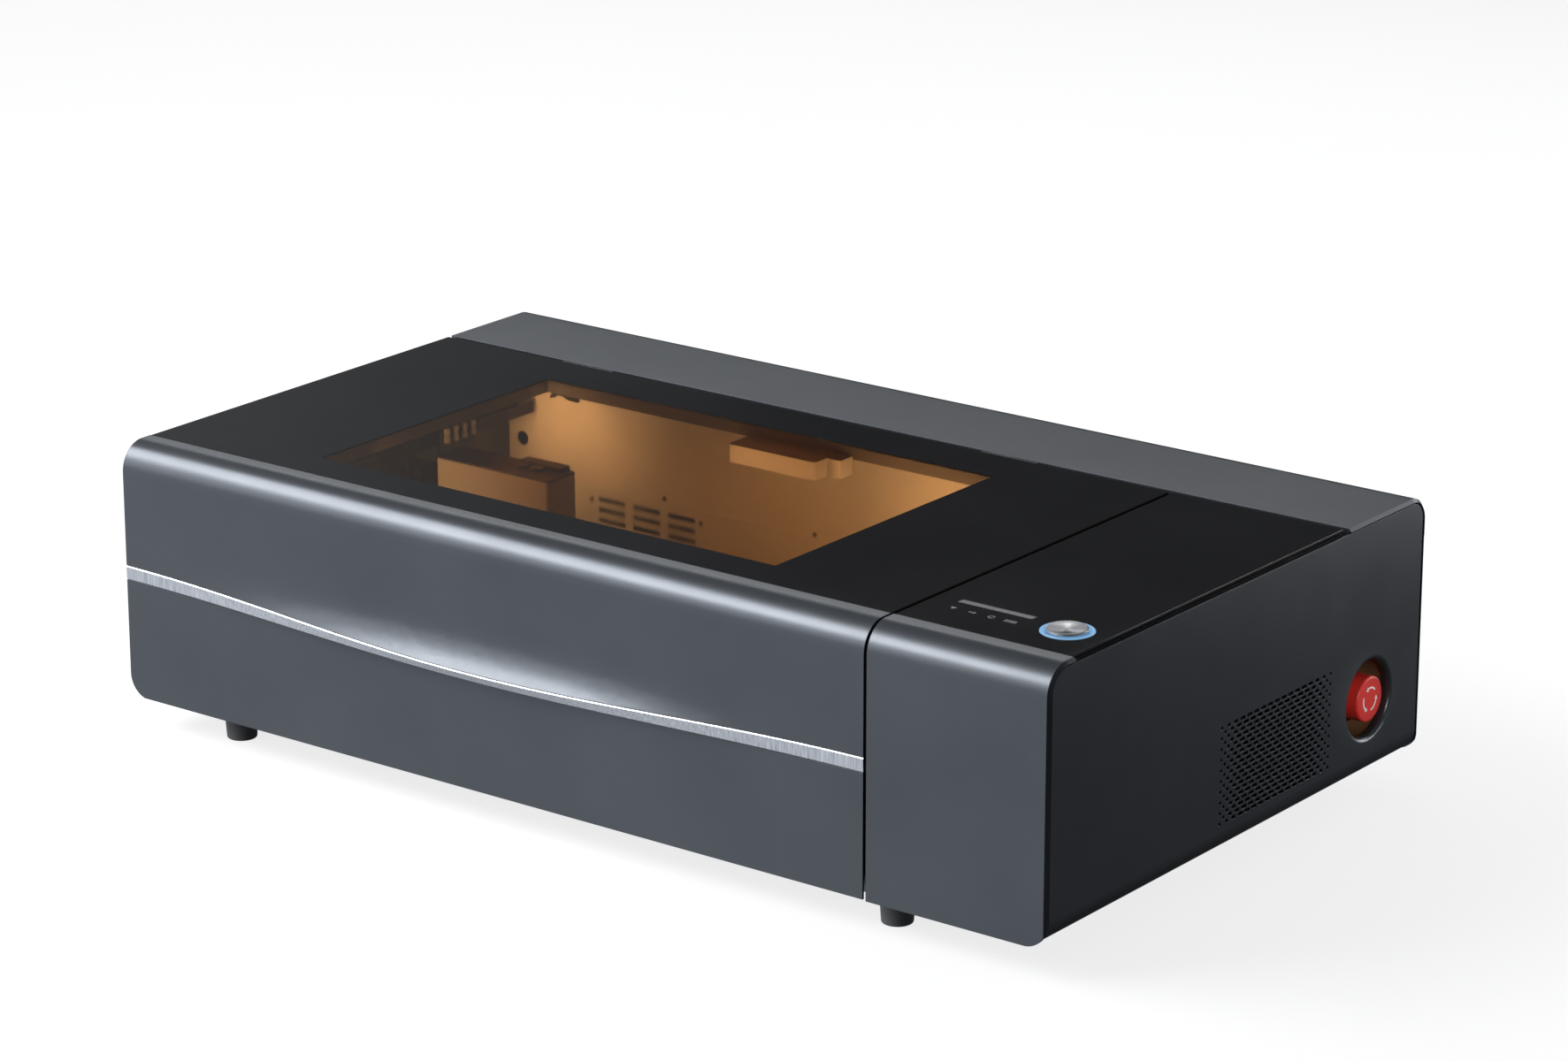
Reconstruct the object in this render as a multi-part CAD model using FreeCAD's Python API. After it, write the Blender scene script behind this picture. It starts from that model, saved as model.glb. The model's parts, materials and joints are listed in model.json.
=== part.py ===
"""Desktop laser cutter: a low steel cabinet with a glass-topped lid and a moving laser head.

The model is built in cabinet coordinates, in millimetres: X runs right from the left side,
Y runs back from the flat front face, and Z runs up from the underside of the cabinet.
Every part is then shifted so that the origin is the centre of the footprint on the table.
"""
import FreeCAD, Part
import math
import os

# ---- driving dimensions ----
WIDTH = 1000.0            # cabinet, left to right
DEPTH = 575.0             # cabinet, front face to rear panel
HEIGHT = 237.0            # cabinet, underside to glass
FOOT_HEIGHT = 28.0
SHEET = 2.5               # outer sheet metal
R_FRONT = 26.0            # roll of the top front edge
R_REAR = 22.0             # roll of the top rear edge
R_LOW = 22.0              # lower left and right edges
RIM = 3.0                 # bevelled rim round the right end
LID_END = 819.5           # right end of the lid
COVER_START = 822.5       # left end of the right compartment
GLASS_FRONT = 36.8
GLASS_REAR = 444.3
GLASS_T = 3.0
COVER_REAR = 449.3        # front edge of the rear cover
LIP_OUT = 15.0            # how far the lid's lip stands out in the middle
LIP_HALF = 420.0          # half the length of the bowed lip
LIP_MID = 410.0
TRIM_TOP = 124.0          # trim strip at its ends
TRIM_BOTTOM = 111.3
TRIM_TOP_DROP = 10.3      # how far the strip's edges dip in the middle
TRIM_BOTTOM_DROP = 6.0
TRIM_TUCK = 4.0           # how far the strip leans back under the lip
FLARE_TOP = 152.0         # the lip grows out of the flat front below this height
SPIGOT_R = 49.0           # exhaust spigot, for a 100 mm hose
SPIGOT_LENGTH = 49.0

# chamber
CH_LEFT = 85.0
CH_RIGHT = 785.0
CH_REAR = 430.0
DECK_TOP = 208.0
WINDOW_X = (168.0, 672.0)
WINDOW_Y = (77.0, 390.0)

# motion
BEAM_Y = 302.0            # gantry at rest
BEAM_Z = (84.0, 122.0)
BEAM_RAIL_Z = (98.0, 108.0)
LASER_X = 103.0           # the beam runs forward along this line
LASER_Z = 156.0
LASER_Y = 262.0           # and right along this one
HEAD_X = (159.0, 292.0)
HEAD_Y = (241.0, 281.0)
HEAD_Z = (88.0, 195.0)
NOZZLE_X = 225.0
PULLEY_R = 8.0
BELT_T = 1.2
BELT_W = 7.0
RUN = 0.05                # radial running fit
SHAFT_Y = 34.0
SHAFT_Z = 201.0
IDLER_Y = 415.0
RAIL_X = (117.0, 753.0)
Y_BELT_X = (97.0, 773.0)
X_PULLEY = (146.0, 724.0)
X_BELT_Z = 126.0          # lower edge of the head's belt
TUBE_Y = 500.0
TUBE_R = 25.0
FAN_X = 252.0
FAN_Z = 70.0

# controls
BUTTON = (957.4, 86.0)
ESTOP_Y = 490.0
ESTOP_Z = 73.0
SIDE_X = 999.0            # outer face of the right side panel
RADIATOR_Y = 339.5
RADIATOR_Z = 72.5
SWITCH_X = 905.0
INLET_X = 860.0
INLET_Z = 60.0
LID_HINGE = (446.8, 234.2)
DOOR_HINGE = (5.7, 7.0)
PAN_FRONT = 16.5          # the door's lower edge swings in front of this
HINGE_R = 2.4
PIN_R = 1.2
LID_HINGE_X = (170.0, 650.0)
DOOR_HINGE_X = (180.0, 640.0)

SHIFT = FreeCAD.Vector(-WIDTH / 2, -(DEPTH + SPIGOT_LENGTH - LIP_OUT - 0.3) / 2, FOOT_HEIGHT)
X_AXIS = FreeCAD.Vector(1, 0, 0)
Y_AXIS = FreeCAD.Vector(0, 1, 0)
Z_AXIS = FreeCAD.Vector(0, 0, 1)


# ---- shape helpers ----
def vec(x, y, z):
    return FreeCAD.Vector(x, y, z)


def box(x, y, z):
    """A block from three (low, high) pairs."""
    return Part.makeBox(x[1] - x[0], y[1] - y[0], z[1] - z[0], vec(x[0], y[0], z[0]))


def rod_x(y, z, radius, x):
    return Part.makeCylinder(radius, x[1] - x[0], vec(x[0], y, z), X_AXIS)


def rod_y(x, z, radius, y):
    return Part.makeCylinder(radius, y[1] - y[0], vec(x, y[0], z), Y_AXIS)


def rod_z(x, y, radius, z):
    return Part.makeCylinder(radius, z[1] - z[0], vec(x, y, z[0]), Z_AXIS)


def cone_z(x, y, low_radius, high_radius, z):
    return Part.makeCone(low_radius, high_radius, z[1] - z[0], vec(x, y, z[0]), Z_AXIS)


def fuse(shapes):
    whole = shapes[0].multiFuse(shapes[1:]) if len(shapes) > 1 else shapes[0]
    return whole.removeSplitter()


def polygon(points):
    return Part.Face(Part.makePolygon(points + [points[0]]))


def slab_yz(points, x):
    """A prism along X from (y, z) corners."""
    face = polygon([vec(x[0], y, z) for y, z in points])
    return face.extrude(vec(x[1] - x[0], 0, 0))


def around(shape, edges_at, radius):
    """Round the edges that the test function picks."""
    edges = [edge for edge in shape.Edges if edges_at(edge)]
    return shape.makeFillet(radius, edges) if edges else shape


def runs_along(edge, axis):
    ends = [vertex.Point for vertex in edge.Vertexes]
    if len(ends) < 2:
        return False
    way = ends[1].sub(ends[0])
    return way.Length > 0.1 and abs(way.normalize().dot(axis)) > 0.999


def rounded_block(x, y, z, axis, radius):
    return around(box(x, y, z), lambda edge: runs_along(edge, axis), radius)


def save(name, shapes):
    """Write one sub-part: a solid, or a group of separate solids."""
    solids = []
    for shape in shapes:
        for solid in shape.Solids:
            moved = solid.copy()
            moved.translate(SHIFT)
            if not moved.isValid():
                print("invalid solid in", name)
            solids.append(moved)
    whole = solids[0] if len(solids) == 1 else Part.makeCompound(solids)
    whole.exportStep(os.path.join("parts", name + ".step"))
    print(name, len(solids), round(sum(s.Volume for s in solids) / 1000.0, 1))


# ---- the outer envelope ----
def side_outline(x, inset, bottom):
    """Cabinet outline seen from the side, with rolled front and rear top edges."""
    front, rear = inset, DEPTH - inset
    top = HEIGHT - inset
    rf, rr = R_FRONT - inset, R_REAR - inset
    lean = math.sqrt(0.5)
    middle_f = vec(x, front + rf * (1 - lean), top - rf * (1 - lean))
    middle_r = vec(x, rear - rr * (1 - lean), top - rr * (1 - lean))
    edges = [
        Part.LineSegment(vec(x, front, bottom), vec(x, front, top - rf)).toShape(),
        Part.Arc(vec(x, front, top - rf), middle_f, vec(x, front + rf, top)).toShape(),
        Part.LineSegment(vec(x, front + rf, top), vec(x, rear - rr, top)).toShape(),
        Part.Arc(vec(x, rear - rr, top), middle_r, vec(x, rear, top - rr)).toShape(),
        Part.LineSegment(vec(x, rear, top - rr), vec(x, rear, bottom)).toShape(),
        Part.LineSegment(vec(x, rear, bottom), vec(x, front, bottom)).toShape(),
    ]
    return Part.Wire(edges)


def end_outline(y, inset):
    """Cabinet outline seen from the front, with rounded lower corners."""
    left, right = inset, WIDTH - inset
    bottom, top = inset, HEIGHT + 1
    radius = R_LOW - inset
    lean = radius * (1 - math.sqrt(0.5))
    edges = [
        Part.LineSegment(vec(left, y, top), vec(left, y, bottom + radius)).toShape(),
        Part.Arc(vec(left, y, bottom + radius), vec(left + lean, y, bottom + lean),
                 vec(left + radius, y, bottom)).toShape(),
        Part.LineSegment(vec(left + radius, y, bottom), vec(right - radius, y, bottom)).toShape(),
        Part.Arc(vec(right - radius, y, bottom), vec(right - lean, y, bottom + lean),
                 vec(right, y, bottom + radius)).toShape(),
        Part.LineSegment(vec(right, y, bottom + radius), vec(right, y, top)).toShape(),
        Part.LineSegment(vec(right, y, top), vec(left, y, top)).toShape(),
    ]
    return Part.Wire(edges)


def side_prism(inset, x, bottom=-5.0):
    return Part.Face(side_outline(x[0], inset, bottom)).extrude(vec(x[1] - x[0], 0, 0))


def envelope(inset):
    """The whole cabinet as one block; the outermost has a bevelled right end."""
    ends = Part.Face(end_outline(0, inset)).extrude(vec(0, DEPTH, 0))
    if inset > 0:
        return ends.common(side_prism(inset, (0, WIDTH)))
    bevel = Part.makeLoft([side_outline(WIDTH - RIM, 0, -5.0),
                           side_outline(WIDTH, RIM, -5.0)], True, True)
    return ends.common(side_prism(0, (0, WIDTH - RIM)).fuse(bevel))


BLOCK = envelope(0.0)
SKIN = BLOCK.cut(envelope(SHEET))
SIDE_SKIN = envelope(1.0).cut(envelope(3.0))


# ---- the bowed lip and its trim ----
def bow(x):
    """0 at the ends of the lip, 1 in the middle."""
    along = (x - LIP_MID) / LIP_HALF
    return math.cos(math.pi * along / 2) ** 2 if abs(along) < 1 else 0.0


def trim_top(x):
    return TRIM_TOP - TRIM_TOP_DROP * bow(x)


def trim_bottom(x):
    return TRIM_BOTTOM - TRIM_BOTTOM_DROP * bow(x)


def lip_out(x, z):
    """How far the lid's front stands forward at a height."""
    low = trim_top(x)
    rise = min(max((FLARE_TOP - z) / (FLARE_TOP - low), 0.0), 1.0)
    return -LIP_OUT * bow(x) * rise ** 2.2


def flare_wire(x):
    low = trim_top(x)
    heights = [low + (FLARE_TOP - low) * step / 7.0 for step in range(8)]
    outer = [vec(x, lip_out(x, z), z) for z in heights]
    inner = [vec(x, lip_out(x, z) + SHEET, z) for z in reversed(heights)]
    curves = []
    for row in (outer, inner):
        curve = Part.BSplineCurve()
        curve.interpolate(row)
        curves.append(curve.toShape())
    return Part.Wire([curves[0],
                      Part.LineSegment(outer[-1], inner[0]).toShape(),
                      curves[1],
                      Part.LineSegment(inner[-1], outer[0]).toShape()])


def stations(first, last, count):
    return [first + (last - first) * step / (count - 1.0) for step in range(count)]


def lid_shell():
    """Rolled front panel of the lid with its flared lip and side cheeks."""
    roll = SKIN.common(box((-1, LID_END), (-1, GLASS_FRONT - 0.5), (FLARE_TOP, HEIGHT + 1)))
    flare = Part.makeLoft([flare_wire(x) for x in stations(0.0, LID_END, 23)], True, False)
    pieces = [roll, flare]
    cheek_l = SKIN.common(box((-1, SHEET), (0, GLASS_FRONT), (TRIM_BOTTOM, HEIGHT + 1)))
    pieces.append(cheek_l)
    cheek_r = side_prism(0.0, (LID_END - SHEET, LID_END))
    cheek_r = cheek_r.common(box((0, WIDTH), (0, GLASS_FRONT - 0.5), (TRIM_BOTTOM, HEIGHT)))
    pieces.append(cheek_r)
    behind_trim = box((-1, LID_END + 1), (-1, 3.1), (100.0, TRIM_TOP))
    pieces[2:] = [cheek.cut(behind_trim) for cheek in pieces[2:]]
    for x in ((0.0, SHEET), (LID_END - SHEET, LID_END)):
        pieces.append(box(x, (GLASS_FRONT - 1, GLASS_REAR), (211.0, 233.2)))
    pieces.append(box((SHEET, LID_END - SHEET), (24.0, GLASS_FRONT - 0.5), (233.2, 234.7)))
    return [fuse(pieces)]


def trim_wire(x):
    out = lip_out(x, trim_top(x))
    top = trim_top(x) - 0.15
    low = trim_bottom(x)
    lower_out = out + TRIM_TUCK * bow(x)
    corners = [vec(x, out + 0.9, top), vec(x, out - 0.3, top - 1.3), vec(x, lower_out, low),
               vec(x, 3.0, low), vec(x, 3.0, top)]
    return Part.makePolygon(corners + [corners[0]])


def lid_trim():
    """Brushed strip along the lid's lower edge; its back is the finger ledge."""
    return [Part.makeLoft([trim_wire(x) for x in stations(0.0, LID_END, 23)], True, False)]


def lid_frame():
    """Folded steel frame under the glass, open at the window."""
    outer_x = (SHEET + 0.4, LID_END - SHEET - 0.4)
    outer_y = (24.0, GLASS_REAR - 0.3)
    frame = box(outer_x, outer_y, (222.0, 233.0))
    wall = 1.6
    frame = frame.cut(box((outer_x[0] + wall, outer_x[1] - wall),
                          (outer_y[0] + wall, outer_y[1] - wall), (220.0, 231.4)))
    window = box(WINDOW_X, WINDOW_Y, (215.0, 240.0))
    flange = box((WINDOW_X[0] - wall, WINDOW_X[1] + wall),
                 (WINDOW_Y[0] - wall, WINDOW_Y[1] + wall), (222.0, 231.6))
    return [fuse([frame, flange]).cut(window)]


def glass_plate(x, z):
    plate = box(x, (GLASS_FRONT, GLASS_REAR), z)
    return around(plate, lambda e: all(abs(v.Point.z - z[1]) < 1e-6 for v in e.Vertexes), 0.5)


def lid_glass():
    return [glass_plate((0.3, LID_END - 0.3), (HEIGHT - GLASS_T, HEIGHT))]


def window_mask():
    """Opaque printed border under the glass."""
    plate = box((0.6, LID_END - 0.6), (GLASS_FRONT + 0.3, GLASS_REAR - 0.3), (233.25, 233.95))
    return [plate.cut(box(WINDOW_X, WINDOW_Y, (230.0, 240.0)))]


def camera_housing():
    """Camera box hung from the frame at the back of the window."""
    body = rounded_block((408.0, 505.0), (354.0, 389.9), (208.0, 225.0), Z_AXIS, 3.0)
    lens = rod_z(440.0, 371.0, 7.0, (205.5, 209.0))
    wedge = slab_yz([(372.0, 208.0), (389.9, 208.0), (389.9, 225.0), (372.0, 225.0)], (504.0, 520.0))
    return [fuse([body, lens, wedge])]


def work_light():
    """Light bar under the front of the lid frame."""
    return [rounded_block((150.0, 690.0), (42.0, 56.0), (215.0, 222.0), X_AXIS, 2.0)]


# ---- cabinet covers ----
def left_side_panel():
    panel = SIDE_SKIN.common(box((-1, 24.0), (5.0, DEPTH - 5.0), (-1, 232.0)))
    panel = panel.common(side_prism(4.5, (-1, 30)))
    panel = panel.cut(box((-1, 30), (0, COVER_REAR - 1.5), (209.5, 240.0)))
    panel = panel.cut(box((-1, 30), (0, GLASS_FRONT + 1.2), (TRIM_BOTTOM - 1.5, 240.0)))
    return [panel.cut(box((8, 30), (0, PAN_FRONT - 1.0), (-2, 12.0)))]


def vent_cutters():
    """Staggered slots: round at the sides of the field, longest in the middle."""
    y_first, y_last = 254.5, 424.5
    z_first, z_last = 30.0, 114.6
    columns, rows = 17, 10
    y_pitch = (y_last - y_first) / (columns - 1)
    z_pitch = (z_last - z_first) / (rows - 1)
    radius = 1.5
    cutters = []
    for shift in (0, 1):
        for column in range(columns - shift):
            for row in range(rows - shift):
                y = y_first + (column + shift / 2.0) * y_pitch
                z = z_first + (row + shift / 2.0) * z_pitch
                away = abs(y - (y_first + y_last) / 2) / ((y_last - y_first) / 2)
                half = 2.6 * max(0.0, min(1.0, (0.96 - away) / 0.35))
                cutters.append(slot_x(y, z, half, radius))
    return Part.makeCompound(cutters)


def slot_x(y, z, half, radius):
    """A round-ended slot cutter through the right side panel, long in Y."""
    x = SIDE_X - 6
    if half < 0.2:
        return rod_x(y, z, radius, (x, x + 10))
    points = [vec(x, y - half, z - radius), vec(x, y + half, z - radius),
              vec(x, y + half, z + radius), vec(x, y - half, z + radius)]
    wire = Part.Wire([
        Part.LineSegment(points[0], points[1]).toShape(),
        Part.Arc(points[1], vec(x, y + half + radius, z), points[2]).toShape(),
        Part.LineSegment(points[2], points[3]).toShape(),
        Part.Arc(points[3], vec(x, y - half - radius, z), points[0]).toShape()])
    return Part.Face(wire).extrude(vec(10, 0, 0))


def right_side_panel():
    """Inset side panel with the radiator vent and the rolled edge of the stop-button recess."""
    panel = SIDE_SKIN.common(box((976.0, WIDTH), (5.0, DEPTH - 5.0), (-1, 240.0)))
    panel = panel.common(side_prism(RIM + 1.5, (970, WIDTH)))
    collar = rod_x(ESTOP_Y, ESTOP_Z, 40.0, (SIDE_X - 8.0, SIDE_X))
    panel = panel.fuse(collar).removeSplitter()
    panel = panel.cut(rod_x(ESTOP_Y, ESTOP_Z, 35.0, (SIDE_X - 20, SIDE_X + 5)))
    rim = [e for e in panel.Edges if abs(e.BoundBox.XLength) < 1e-3
           and abs(e.BoundBox.XMax - SIDE_X) < 1e-3
           and abs(e.BoundBox.YLength - 70.0) < 0.5]
    panel = panel.makeFillet(4.2, rim)
    return [panel.cut(vent_cutters())]


def right_front_cover():
    cover = SKIN.common(box((COVER_START, WIDTH + 1), (-1, GLASS_FRONT - 0.4), (-1, HEIGHT + 1)))
    cover = cover.cut(box((975.5, WIDTH + 1), (RIM, 40), (-1, HEIGHT - R_FRONT)))
    cover = cover.cut(side_prism(RIM, (WIDTH - RIM, WIDTH + 1)))
    flange = box((COVER_START, COVER_START + 2.0), (1.0, GLASS_FRONT - 1.0), (2.0, 200.0))
    pan_notch = box((COVER_START - 1, WIDTH), (PAN_FRONT - 0.4, 40), (-1, 16.4))
    return [fuse([cover, flange]).cut(pan_notch)]


def rear_top_cover():
    cover = SKIN.common(box((-1, WIDTH + 1), (COVER_REAR, DEPTH + 1), (200.0, HEIGHT + 1)))
    cover = cover.cut(side_prism(RIM, (WIDTH - RIM, WIDTH + 1)))
    cover = cover.cut(side_prism(RIM, (-1, SHEET)))
    flange = box((RIM, WIDTH - RIM - 1), (COVER_REAR, COVER_REAR + 2.0), (218.0, 235.0))
    return [fuse([cover, flange])]


def rear_panel():
    """Rear sheet with the exhaust hole, cooling slots and the power module cut-out."""
    panel = SKIN.common(box((-1, WIDTH + 1), (DEPTH - SHEET, DEPTH + 1), (-1, 199.5)))
    cutters = [rod_y(FAN_X, FAN_Z, 44.0, (DEPTH - 10, DEPTH + 5)),
               box((INLET_X - 14.5, INLET_X + 14.5), (DEPTH - 10, DEPTH + 5),
                   (INLET_Z - 10.5, INLET_Z + 10.5)),
               box((SWITCH_X - 11.5, SWITCH_X + 11.5), (DEPTH - 10, DEPTH + 5),
                   (INLET_Z - 15.5, INLET_Z + 15.5))]
    for row in range(5):
        for column in range(3):
            x = 560.0 + column * 60.0
            z = 50.0 + row * 12.0
            cutters.append(rounded_block((x, x + 46.0), (DEPTH - 10, DEPTH + 5), (z, z + 4.0),
                                         Y_AXIS, 1.9))
    return [panel.cut(Part.makeCompound(cutters))]


def base_pan():
    """Flat floor with upturned front, rear and side flanges."""
    x = (24.4, WIDTH - 24.4)
    y = (PAN_FRONT, DEPTH - 3.2)
    floor = box(x, y, (0.0, 2.0))
    flanges = [box((x[0], x[1]), (y[0], y[0] + 1.6), (0.0, 16.0)),
               box((x[0], x[1]), (y[1] - 1.6, y[1]), (0.0, 16.0))]
    for edge in (x[0], x[1] - 1.6):
        flanges.append(box((edge, edge + 1.6), y, (0.0, 16.0)))
    return [fuse([floor] + flanges)]


def feet():
    """Four tapered rubber feet."""
    solids = []
    for x in (100.0, 828.0):
        for y in (37.0, DEPTH - 37.0):
            foot = cone_z(x, y, 13.5, 15.5, (-FOOT_HEIGHT, 0.0))
            foot = around(foot, lambda e: abs(e.BoundBox.ZMax + FOOT_HEIGHT) < 1e-3, 1.5)
            solids.append(foot)
    return solids


def lower_front_panel():
    """Drop-down door under the lid; its top edge follows the trim."""
    panel = BLOCK.common(box((-1, LID_END), (-1, 2.0), (0.8, 140.0)))
    points = [vec(x, 0, trim_bottom(x) - 0.7) for x in stations(-2.0, LID_END + 2.0, 15)]
    curve = Part.BSplineCurve()
    curve.interpolate(points)
    top = vec(points[-1].x, 0, 150.0)
    above = Part.Wire([curve.toShape(), Part.LineSegment(points[-1], top).toShape(),
                       Part.LineSegment(top, vec(points[0].x, 0, 150.0)).toShape(),
                       Part.LineSegment(vec(points[0].x, 0, 150.0), points[0]).toShape()])
    cutter = Part.Face(above).extrude(vec(0, 12, 0))
    cutter.translate(vec(0, -4, 0))
    stiffener = box((30.0, LID_END - 12.0), (1.9, 5.0), (90.0, 92.0))
    return [fuse([panel.cut(cutter), stiffener])]


def front_crossbar():
    """Cross member above the door opening, with the door's magnet catches."""
    bar = box((3.4, COVER_START - 3.0), (8.0, 24.0), (96.0, 104.0))
    catches = [box((x, x + 24.0), (2.4, 8.1), (95.0, 103.0)) for x in (150.0, 640.0)]
    posts = [box(x, (PAN_FRONT + 1.7, 24.0), (2.0, 96.1))
             for x in ((60.0, 66.0), (CH_RIGHT + 6, CH_RIGHT + 12))]
    return [fuse([bar] + catches + posts)]


# ---- chamber ----
def chamber_rear_wall():
    """Back wall with the beam port, the smoke slots and a fold line."""
    wall = box((CH_LEFT + 1.8, CH_RIGHT - 1.8), (CH_REAR, CH_REAR + 1.5), (2.0, 217.0))
    top = box((CH_LEFT + 1.8, CH_RIGHT - 1.8), (CH_REAR, COVER_REAR - 2.0), (215.5, 217.0))
    cutters = [rod_y(LASER_X, LASER_Z, 7.0, (CH_REAR - 5, CH_REAR + 5))]
    for column in range(3):
        for row in range(3):
            x = 194.0 + column * 41.5
            z = 90.0 + row * 10.2
            cutters.append(rounded_block((x, x + 33.0), (CH_REAR - 5, CH_REAR + 5), (z, z + 5.0),
                                         Y_AXIS, 2.0))
    wall = wall.cut(Part.makeCompound(cutters))
    fold = box((CH_LEFT + 20, CH_RIGHT - 20), (CH_REAR - 0.6, CH_REAR + 0.1), (122.4, 123.2))
    return [fuse([wall, top, fold])]


def chamber_side_walls():
    """Left and right walls, each folded outwards into a deck at the top.

    The left one carries the bearing of the cross shaft."""
    front = 24.2
    bearing = box((CH_LEFT + 1.4, CH_LEFT + 6.0), (SHAFT_Y - 9, SHAFT_Y + 9), (188.0, 214.0))
    left = fuse([box((CH_LEFT, CH_LEFT + 1.5), (front, CH_REAR - 0.2), (2.0, DECK_TOP)),
                 box((3.4, CH_LEFT + 1.5), (8.0, CH_REAR - 0.2), (DECK_TOP - 1.5, DECK_TOP)),
                 bearing])
    left = left.cut(rod_x(SHAFT_Y, SHAFT_Z, 4.0 + RUN, (CH_LEFT - 1, CH_LEFT + 10)))
    right = fuse([box((CH_RIGHT - 1.5, CH_RIGHT), (front, CH_REAR - 0.2), (2.0, DECK_TOP)),
                  box((CH_RIGHT - 1.5, COVER_START - 3.0), (62.0, COVER_REAR - 2.5),
                      (DECK_TOP - 1.5, DECK_TOP))])
    right = right.cut(rod_x(SHAFT_Y, SHAFT_Z, 5.5, (CH_RIGHT - 5, CH_RIGHT + 5)))
    right = right.cut(box((CH_RIGHT - 5, CH_RIGHT + 5), (SHAFT_Y - 5.5, SHAFT_Y + 5.5),
                          (SHAFT_Z, 230)))
    return [left, right]


def compartment_bulkhead():
    """Wall and deck of the right compartment, with the power button's switch body."""
    wall = box((COVER_START + 3.0, COVER_START + 4.5), (GLASS_FRONT + 2, DEPTH - 8.0), (2.0, 231.0))
    deck = box((COVER_START + 1.5, 995.0), (GLASS_FRONT + 0.6, GLASS_REAR), (231.0, 233.0))
    switch = fuse([rod_z(BUTTON[0], BUTTON[1], 16.0, (200.0, 231.5)),
                   rod_z(BUTTON[0], BUTTON[1], 24.5, (227.0, 231.5))])
    wall = wall.cut(rod_x(TUBE_Y, LASER_Z, TUBE_R + 4, (COVER_START, COVER_START + 10)))
    wall = wall.cut(box((820, 830), (GLASS_REAR, DEPTH), (217.0, 240.0)))
    whole = fuse([wall, deck, switch])
    return [whole.cut(fuse([rod_z(BUTTON[0], BUTTON[1], 24.0, (231.4, 240)),
                            rod_z(BUTTON[0], BUTTON[1], 6.0 + RUN, (190.0, 240.0))]))]


def slat_bed():
    """Lift-out tray with a row of knife-edged slats."""
    x = (104.0, 766.0)
    y = (26.0, 418.0)
    z = (24.0, 46.0)
    frame = box(x, y, z).cut(box((x[0] + 8, x[1] - 8), (y[0] + 8, y[1] - 8), (20, 50)))
    legs = [box((px, px + 14), (py, py + 14), (2.0, 25.0))
            for px in (x[0], x[1] - 14) for py in (y[0], y[1] - 14)]
    pieces = [frame] + legs
    count = 21
    for step in range(count):
        middle = x[0] + 24.0 + step * (x[1] - x[0] - 48.0) / (count - 1)
        corners = [vec(middle - 4, y[0] + 7, 30), vec(middle + 4, y[0] + 7, 30),
                   vec(middle, y[0] + 7, 45)]
        pieces.append(polygon(corners).extrude(vec(0, y[1] - y[0] - 14, 0)))
    return [fuse(pieces)]


# ---- hinges ----
def knuckles(axis_y, axis_z, middle, spans, leaf):
    """Hinge leaf with its knuckles bored for the pin."""
    solid = [leaf]
    for low, high in spans:
        solid.append(rod_x(axis_y, axis_z, HINGE_R, (middle + low, middle + high)))
    whole = fuse(solid)
    return whole.cut(rod_x(axis_y, axis_z, PIN_R + RUN, (middle - 40, middle + 40)))


OUTER_SPANS = ((-30.0, -10.4), (10.4, 30.0))
INNER_SPAN = ((-10.0, 10.0),)


def lid_hinge_leaves():
    y, z = LID_HINGE
    leaves = []
    for middle in LID_HINGE_X:
        leaf = box((middle - 10, middle + 10), (y - HINGE_R, y - HINGE_R + 1.3), (222.5, z))
        leaves.append(knuckles(y, z, middle, INNER_SPAN, leaf))
    return leaves


def door_hinge_leaves():
    y, z = DOOR_HINGE
    leaves = []
    for middle in DOOR_HINGE_X:
        leaf = box((middle - 10, middle + 10), (2.0, y - HINGE_R + 0.4), (z, 26.0))
        leaves.append(knuckles(y, z, middle, INNER_SPAN, leaf))
    return leaves


def fixed_hinge_leaves():
    leaves = []
    y, z = LID_HINGE
    for middle in LID_HINGE_X:
        parts = [box((middle + low, middle + high), (COVER_REAR - 1.4, COVER_REAR), (219.0, z))
                 for low, high in OUTER_SPANS]
        parts.append(box((middle - 30, middle + 30), (COVER_REAR - 1.4, COVER_REAR), (219.0, 228.0)))
        leaves.append(knuckles(y, z, middle, OUTER_SPANS, fuse(parts)))
    y, z = DOOR_HINGE
    for middle in DOOR_HINGE_X:
        parts = [box((middle + low, middle + high), (y, PAN_FRONT), (z + 1.0, z + HINGE_R))
                 for low, high in OUTER_SPANS]
        parts.append(box((middle - 30, middle + 30), (PAN_FRONT - 1.5, PAN_FRONT), (z + 1.0, 15.5)))
        leaves.append(knuckles(y, z, middle, OUTER_SPANS, fuse(parts)))
    return leaves


def hinge_pins():
    pins = []
    for (y, z), middles in ((LID_HINGE, LID_HINGE_X), (DOOR_HINGE, DOOR_HINGE_X)):
        for middle in middles:
            pins.append(rod_x(y, z, PIN_R, (middle - 30.5, middle + 30.5)))
    return pins


# ---- motion system ----
def y_rails():
    """Linear rails on angle brackets, which also hold the rear idler axles."""
    rails = []
    for middle, belt, wall, side in ((RAIL_X[0], Y_BELT_X[0], CH_LEFT + 1.5, 1),
                                     (RAIL_X[1], Y_BELT_X[1], CH_RIGHT - 1.5, -1)):
        rail = box((middle - 5, middle + 5), (44.0, 424.0), (189.5, 198.0))
        web = box(sorted((wall, middle + side * 5)), (44.0, 424.0), (186.5, 190.0))
        leg = box(sorted((wall, wall + side * 2.5)), (44.0, 424.0), (172.0, 190.0))
        ear = box(sorted((wall, wall + side * 3.5)), (IDLER_Y - 9, IDLER_Y + 9), (188.0, 214.0))
        axle_x = sorted((wall, belt + side * (BELT_W / 2 + 3.0)))
        rails.append(fuse([rail, web, leg, ear, rod_x(IDLER_Y, SHAFT_Z, 3.0, axle_x)]))
    return rails


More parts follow.
